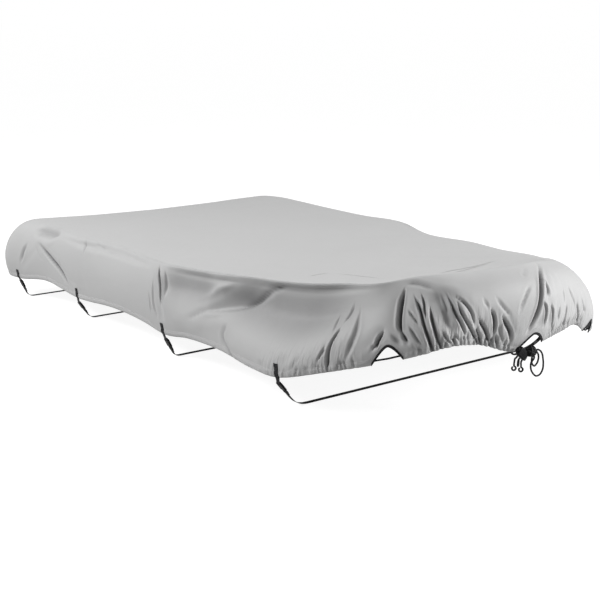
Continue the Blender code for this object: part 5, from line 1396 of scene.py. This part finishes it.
def braided_mesh(name, points, radius):
    """A tube of braid along a line of points: strands that cross over each other as they wind."""
    heading = np.gradient(points, axis=0)
    heading /= np.linalg.norm(heading, axis=1)[:, None]
    side = np.cross(heading[0], UP if abs(heading[0][2]) < 0.9 else ALONG_Y)
    sides = []
    for toward in heading:
        side = side - toward * (side @ toward)
        side = side / np.linalg.norm(side)
        sides.append(side)
    sides = np.array(sides)
    ups = np.cross(heading, sides)
    along = np.concatenate(((0.0,), np.cumsum(np.linalg.norm(np.diff(points, axis=0), axis=1))))
    angle = np.linspace(0, math.tau, BRAID_SIDES + 1)
    wind = along[:, None] * BRAID_TWIST
    height = np.maximum(np.cos(BRAID_STRANDS * angle[None] + wind),
                        np.cos(BRAID_STRANDS * angle[None] - wind)) * 0.5 + 0.5
    rounding = np.ones(len(points))
    rounding[[0, -1]] = BRAID_END
    size = radius * (BRAID_CORE + BRAID_RISE * height) * rounding[:, None]
    rings = (points[:, None] + size[..., None] * (np.cos(angle)[None, :, None] * sides[:, None]
                                                  + np.sin(angle)[None, :, None] * ups[:, None]))
    centres = np.repeat(points[[0, -1]][:, None], BRAID_SIDES + 1, axis=1)
    rings = np.concatenate((centres[:1], rings, centres[1:]))
    height = np.concatenate((height[:1], height, height[-1:]))
    along = np.concatenate((along[:1], along, along[-1:]))
    laid = np.stack(np.meshgrid(angle * radius, along)[::-1], axis=-1)
    # The strands' height goes with the mesh, for the painted shade of the gaps between them.
    return sheet_mesh(name, rings, laid, {"settled": height})


PATH_POINTS = 32


def cord(name, route, nodes, radius=CORD_RADIUS):
    """A braided cord along a route, in the place of its CAD nodes."""
    points = spaced(route, BRAID_STEP) - UP * HOLD_HEIGHT
    piece = show(name, braided_mesh(name, points, radius), cord_finish)
    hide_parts(*nodes)
    path = points[::max(1, len(points) // PATH_POINTS)]
    path = np.concatenate((path, points[-1:])) if np.any(path[-1] != points[-1]) else path
    return piece


def behind_hem(place, depth, height=HEM_MIDDLE):
    """A point of the drawcord's line, part-way up the hem and behind the cloth's outer face."""
    place = np.array((place,))
    down = 1 - height / side_length(place)
    point = drape(place, down)[0]
    step_along = (drape(place + 0.02, down) - drape(place - 0.02, down))[0]
    normal = np.cross((drape(place, np.ones(1)) - drape(place, down - 0.05))[0], step_along)
    return point - normal / np.linalg.norm(normal) * depth


def hem_lead(arch, side):
    """The cord's way along the hem to one foot of an arch, from inside the hem."""
    label, middle, half_width, _ = arch
    return [behind_hem(middle + side * (half_width + inside), BEHIND_HEM + CORD_CLEAR[label])
            for inside in LEAD_INSIDE]


def on_knot(*direction):
    """Two points straight out of the knot in the given direction, the first just clear of it."""
    out = np.array(direction) / np.linalg.norm(direction)
    reach = KNOT_RADIUS + 2 * GAP
    return [KNOT_CENTRE + out * reach, KNOT_CENTRE + out * (reach + KNOT_STRAIGHT)]


lock_turn = np.array(Matrix.Rotation(math.radians(LOCK_TILT), 3, "Y"))


def on_lock(along, across):
    """Two points straight out of the lock's lower long side, the first just clear of it."""
    side = LOCK_SIZE[2] / 2 + 2 * GAP
    return [LOCK_CENTRE + lock_turn @ np.array((along, across, -side - out))
            for out in (0.0, LOCK_STRAIGHT)]


def end_loop(above):
    """The small loop that a tail ends in, from under its last point round and back."""
    centre = np.array(above) - UP * (END_RING_RADIUS + END_RING_CORD + 1.5 * GAP)
    faces = math.radians(END_RING_FACES)
    sideways = np.array((math.cos(faces), math.sin(faces), 0.0))
    ring = [centre + END_RING_RADIUS * (sideways * math.cos(turn) + UP * math.sin(turn))
            for turn in np.radians(END_RING_TURNS)]
    return [np.array(above) - UP * END_RING_TAIL, *ring]


for arch in (ARCHES[0], ARCHES[2]):
    label, middle, half_width, _ = arch
    route = hem_lead(arch, -1)
    route += [behind_hem(place, BEHIND_BINDING)
              for place in (middle - half_width, middle, middle + half_width)]
    route += hem_lead(arch, 1)[::-1]
    cord("cord_across_" + label, route, ["drawcord_span_" + label])

bow_arch = ARCHES[1]
right_foot = behind_hem(bow_arch[1] + bow_arch[2], BEHIND_BINDING, 0.009)
cord("cord_from_right_foot",
     [*hem_lead(bow_arch, 1), right_foot, *LEAD_RIGHT, *on_knot(0.39, 0.10, 0.915)[::-1]],
     ["drawcord_end_right"])
cord("cord_from_left_foot", [*hem_lead(bow_arch, -1), *LEAD_LEFT], ["drawcord_end_left"])
cord("cord_loop_large",
     [*on_knot(0.92, -0.39, 0.05), *LOOP_LARGE, *on_knot(0.02, -0.50, -0.86)[::-1]],
     ["tie_loop_large"])
cord("cord_loop_medium",
     [*on_knot(0.93, 0.26, -0.22), *LOOP_MEDIUM, *on_knot(0.62, 0.26, -0.74)[::-1]],
     ["tie_loop_medium"])
cord("cord_loop_short",
     [*on_lock(-0.0035, -0.0035), *LOOP_SHORT, *on_lock(0.0040, 0.0040)[::-1]],
     ["tie_loop_short"])
cord("cord_tail_left", [*on_lock(-0.0120, 0.0035), *TAIL_LEFT, *end_loop(TAIL_LEFT[-1])],
     ["tie_tail_left", "tie_end_left"])
cord("cord_tail_right", [*on_lock(0.0125, -0.0035), *TAIL_RIGHT, *end_loop(TAIL_RIGHT[-1])],
     ["tie_tail_right", "tie_end_right"])


# ---------------------------------------------------------------- knot
# The bow knot that joins the drawcord's two ends: ten turns of the same braided cord, drawn tight
# round each other by hand. It lies beside the lock, and its loose turns spread toward it.
WRAPS = 10
WRAP_STEPS = 620
WRAP_LEAN = (-0.6, 1.9)    # lean of the first turn and how far the last leans from it, radians
WRAP_SWING = 0.35          # how far the turns' axis leaves one plane
WRAP_UNEVEN = 0.10         # how much smaller the smallest turn is
WRAP_SHIFT = 0.0060        # how far the turns move along their axis
KNOT_SPREAD = np.array((1.50, 1.12, 1.16))
KNOT_MIDDLE = KNOT_CENTRE + np.array((-0.0055, -0.0010, -0.0010)) - UP * HOLD_HEIGHT
KNOT_CORE = 0.80           # radius of the turns inside, as a share of the knot's

knot_share = np.linspace(0, 1, WRAP_STEPS)
wrap_angle = knot_share * WRAPS * math.tau
wrap_lean = WRAP_LEAN[0] + knot_share * WRAP_LEAN[1]
wrap_axis = np.stack((np.cos(wrap_lean), WRAP_SWING * np.sin(3 * wrap_lean), np.sin(wrap_lean)),
                     axis=-1)
wrap_axis /= np.linalg.norm(wrap_axis, axis=1)[:, None]
wrap_side = np.cross(wrap_axis, ALONG_Y)
wrap_side /= np.linalg.norm(wrap_side, axis=1)[:, None]
wrap_up = np.cross(wrap_axis, wrap_side)
wrap_size = 1 - WRAP_UNEVEN + WRAP_UNEVEN * np.sin(wrap_angle * 0.5 + 0.4)
wrap_size = (KNOT_RADIUS - CORD_RADIUS) * wrap_size
wrap_shift = WRAP_SHIFT * np.sin(wrap_angle / 3)
knot_turns = wrap_size[:, None] * (wrap_side * np.cos(wrap_angle)[:, None]
                                   + wrap_up * np.sin(wrap_angle)[:, None])
knot_line = KNOT_MIDDLE + KNOT_SPREAD * (wrap_axis * wrap_shift[:, None] + knot_turns)
knot = show("bow_knot", braided_mesh("bow knot", knot_line, CORD_RADIUS), cord_finish)
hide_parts("tie_knot")

# The turns inside it close the gaps between those outside.
core = bmesh.new()
bmesh.ops.create_icosphere(core, subdivisions=3, radius=KNOT_RADIUS * KNOT_CORE)
for corner in core.verts:
    toward = corner.co.normalized()
    corner.co *= 1 + 0.03 * math.sin(9 * toward.x + 4 * toward.z)
bmesh.ops.scale(core, vec=KNOT_SPREAD, verts=core.verts)
bmesh.ops.translate(core, vec=KNOT_MIDDLE, verts=core.verts)
core_mesh = bpy.data.meshes.new("knot core")
core.to_mesh(core_mesh)
core.free()
core_mesh.uv_layers.new(name="laid")
core_mesh.shade_smooth()
show("knot_core", core_mesh, cord_finish)


# ---------------------------------------------------------------- cord lock
# A sprung lock moulded in black acetal: a flat barrel with grip ribs, and a button at its upper
# end that lets the cord slide when it is pressed in. It is shown gripping the cord.
LOCK_EDGE = 0.0042
RIB_COUNT = 7
RIB_PITCH = 0.0052
RIB_SIZE = (0.0020, 0.0016, LOCK_SIZE[2] * 0.62)
RIB_EDGE = 0.0006
BUTTON_RADIUS = 0.0078
# The button's turned form: distance from the barrel's end and share of its radius.
BUTTON_PROFILE = ((0.0, 0.80), (0.0012, 0.80), (0.0014, 0.97), (0.0022, 1.0), (0.0030, 1.0),
                  (0.0034, 0.93), (0.0042, 0.93), (0.0046, 1.0), (0.0066, 1.0), (0.0075, 0.94),
                  (0.0080, 0.80), (0.0078, 0.30))


def lock_point(point):
    """A point given in the barrel's own directions, on the cover."""
    return LOCK_CENTRE + lock_turn @ np.array(point) - UP * HOLD_HEIGHT


def rounded_box(made, centre, size, edge, segments):
    """Adds a box with rounded edges, given in the barrel's own directions."""
    box = bmesh.ops.create_cube(made, size=1.0)
    corners = box["verts"]
    bmesh.ops.scale(made, vec=size, verts=corners)
    bmesh.ops.translate(made, vec=centre, verts=corners)
    sharp = list({side for corner in corners for side in corner.link_edges})
    bmesh.ops.bevel(made, geom=sharp, offset=edge, segments=segments, profile=0.5, affect="EDGES")


def lathe(made, profile, sides=36):
    """Adds a turned form along the barrel's length from (along, radius) pairs."""
    rings = []
    for along, radius in profile:
        rings.append([made.verts.new((along, radius * math.cos(turn), radius * math.sin(turn)))
                      for turn in np.linspace(0, math.tau, sides, endpoint=False)])
    for first, second in zip(rings, rings[1:]):
        for side in range(sides):
            after = (side + 1) % sides
            made.faces.new((first[side], second[side], second[after], first[after]))
    made.faces.new(rings[0])
    made.faces.new(rings[-1][::-1])


def lock_piece(name, made, node):
    """A moulded piece of the lock, from a form in the barrel's own directions."""
    for corner in made.verts:
        corner.co = lock_point(corner.co)
    bmesh.ops.recalc_face_normals(made, faces=made.faces)
    mesh = bpy.data.meshes.new(name)
    made.to_mesh(mesh)
    made.free()
    mesh.shade_smooth()
    mesh.set_sharp_from_angle(angle=math.radians(38))
    piece = show(name, mesh, plastic_finish)
    if node:
        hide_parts(node)
    return piece


barrel = bmesh.new()
rounded_box(barrel, (0.0, 0.0, 0.0), LOCK_SIZE, LOCK_EDGE, 5)
lock_piece("lock_barrel", barrel, "cord_lock")
ribs = bmesh.new()
for number in range(RIB_COUNT):
    along = (number - (RIB_COUNT - 1) / 2) * RIB_PITCH
    rounded_box(ribs, (along, -LOCK_SIZE[1] / 2, 0.0), RIB_SIZE, RIB_EDGE, 3)
lock_piece("lock_ribs", ribs, "")
button = bmesh.new()
end = -LOCK_SIZE[0] / 2 - GAP
lathe(button, [(end - along, BUTTON_RADIUS * share) for along, share in BUTTON_PROFILE])
lock_piece("lock_button", button, "cord_lock_button")
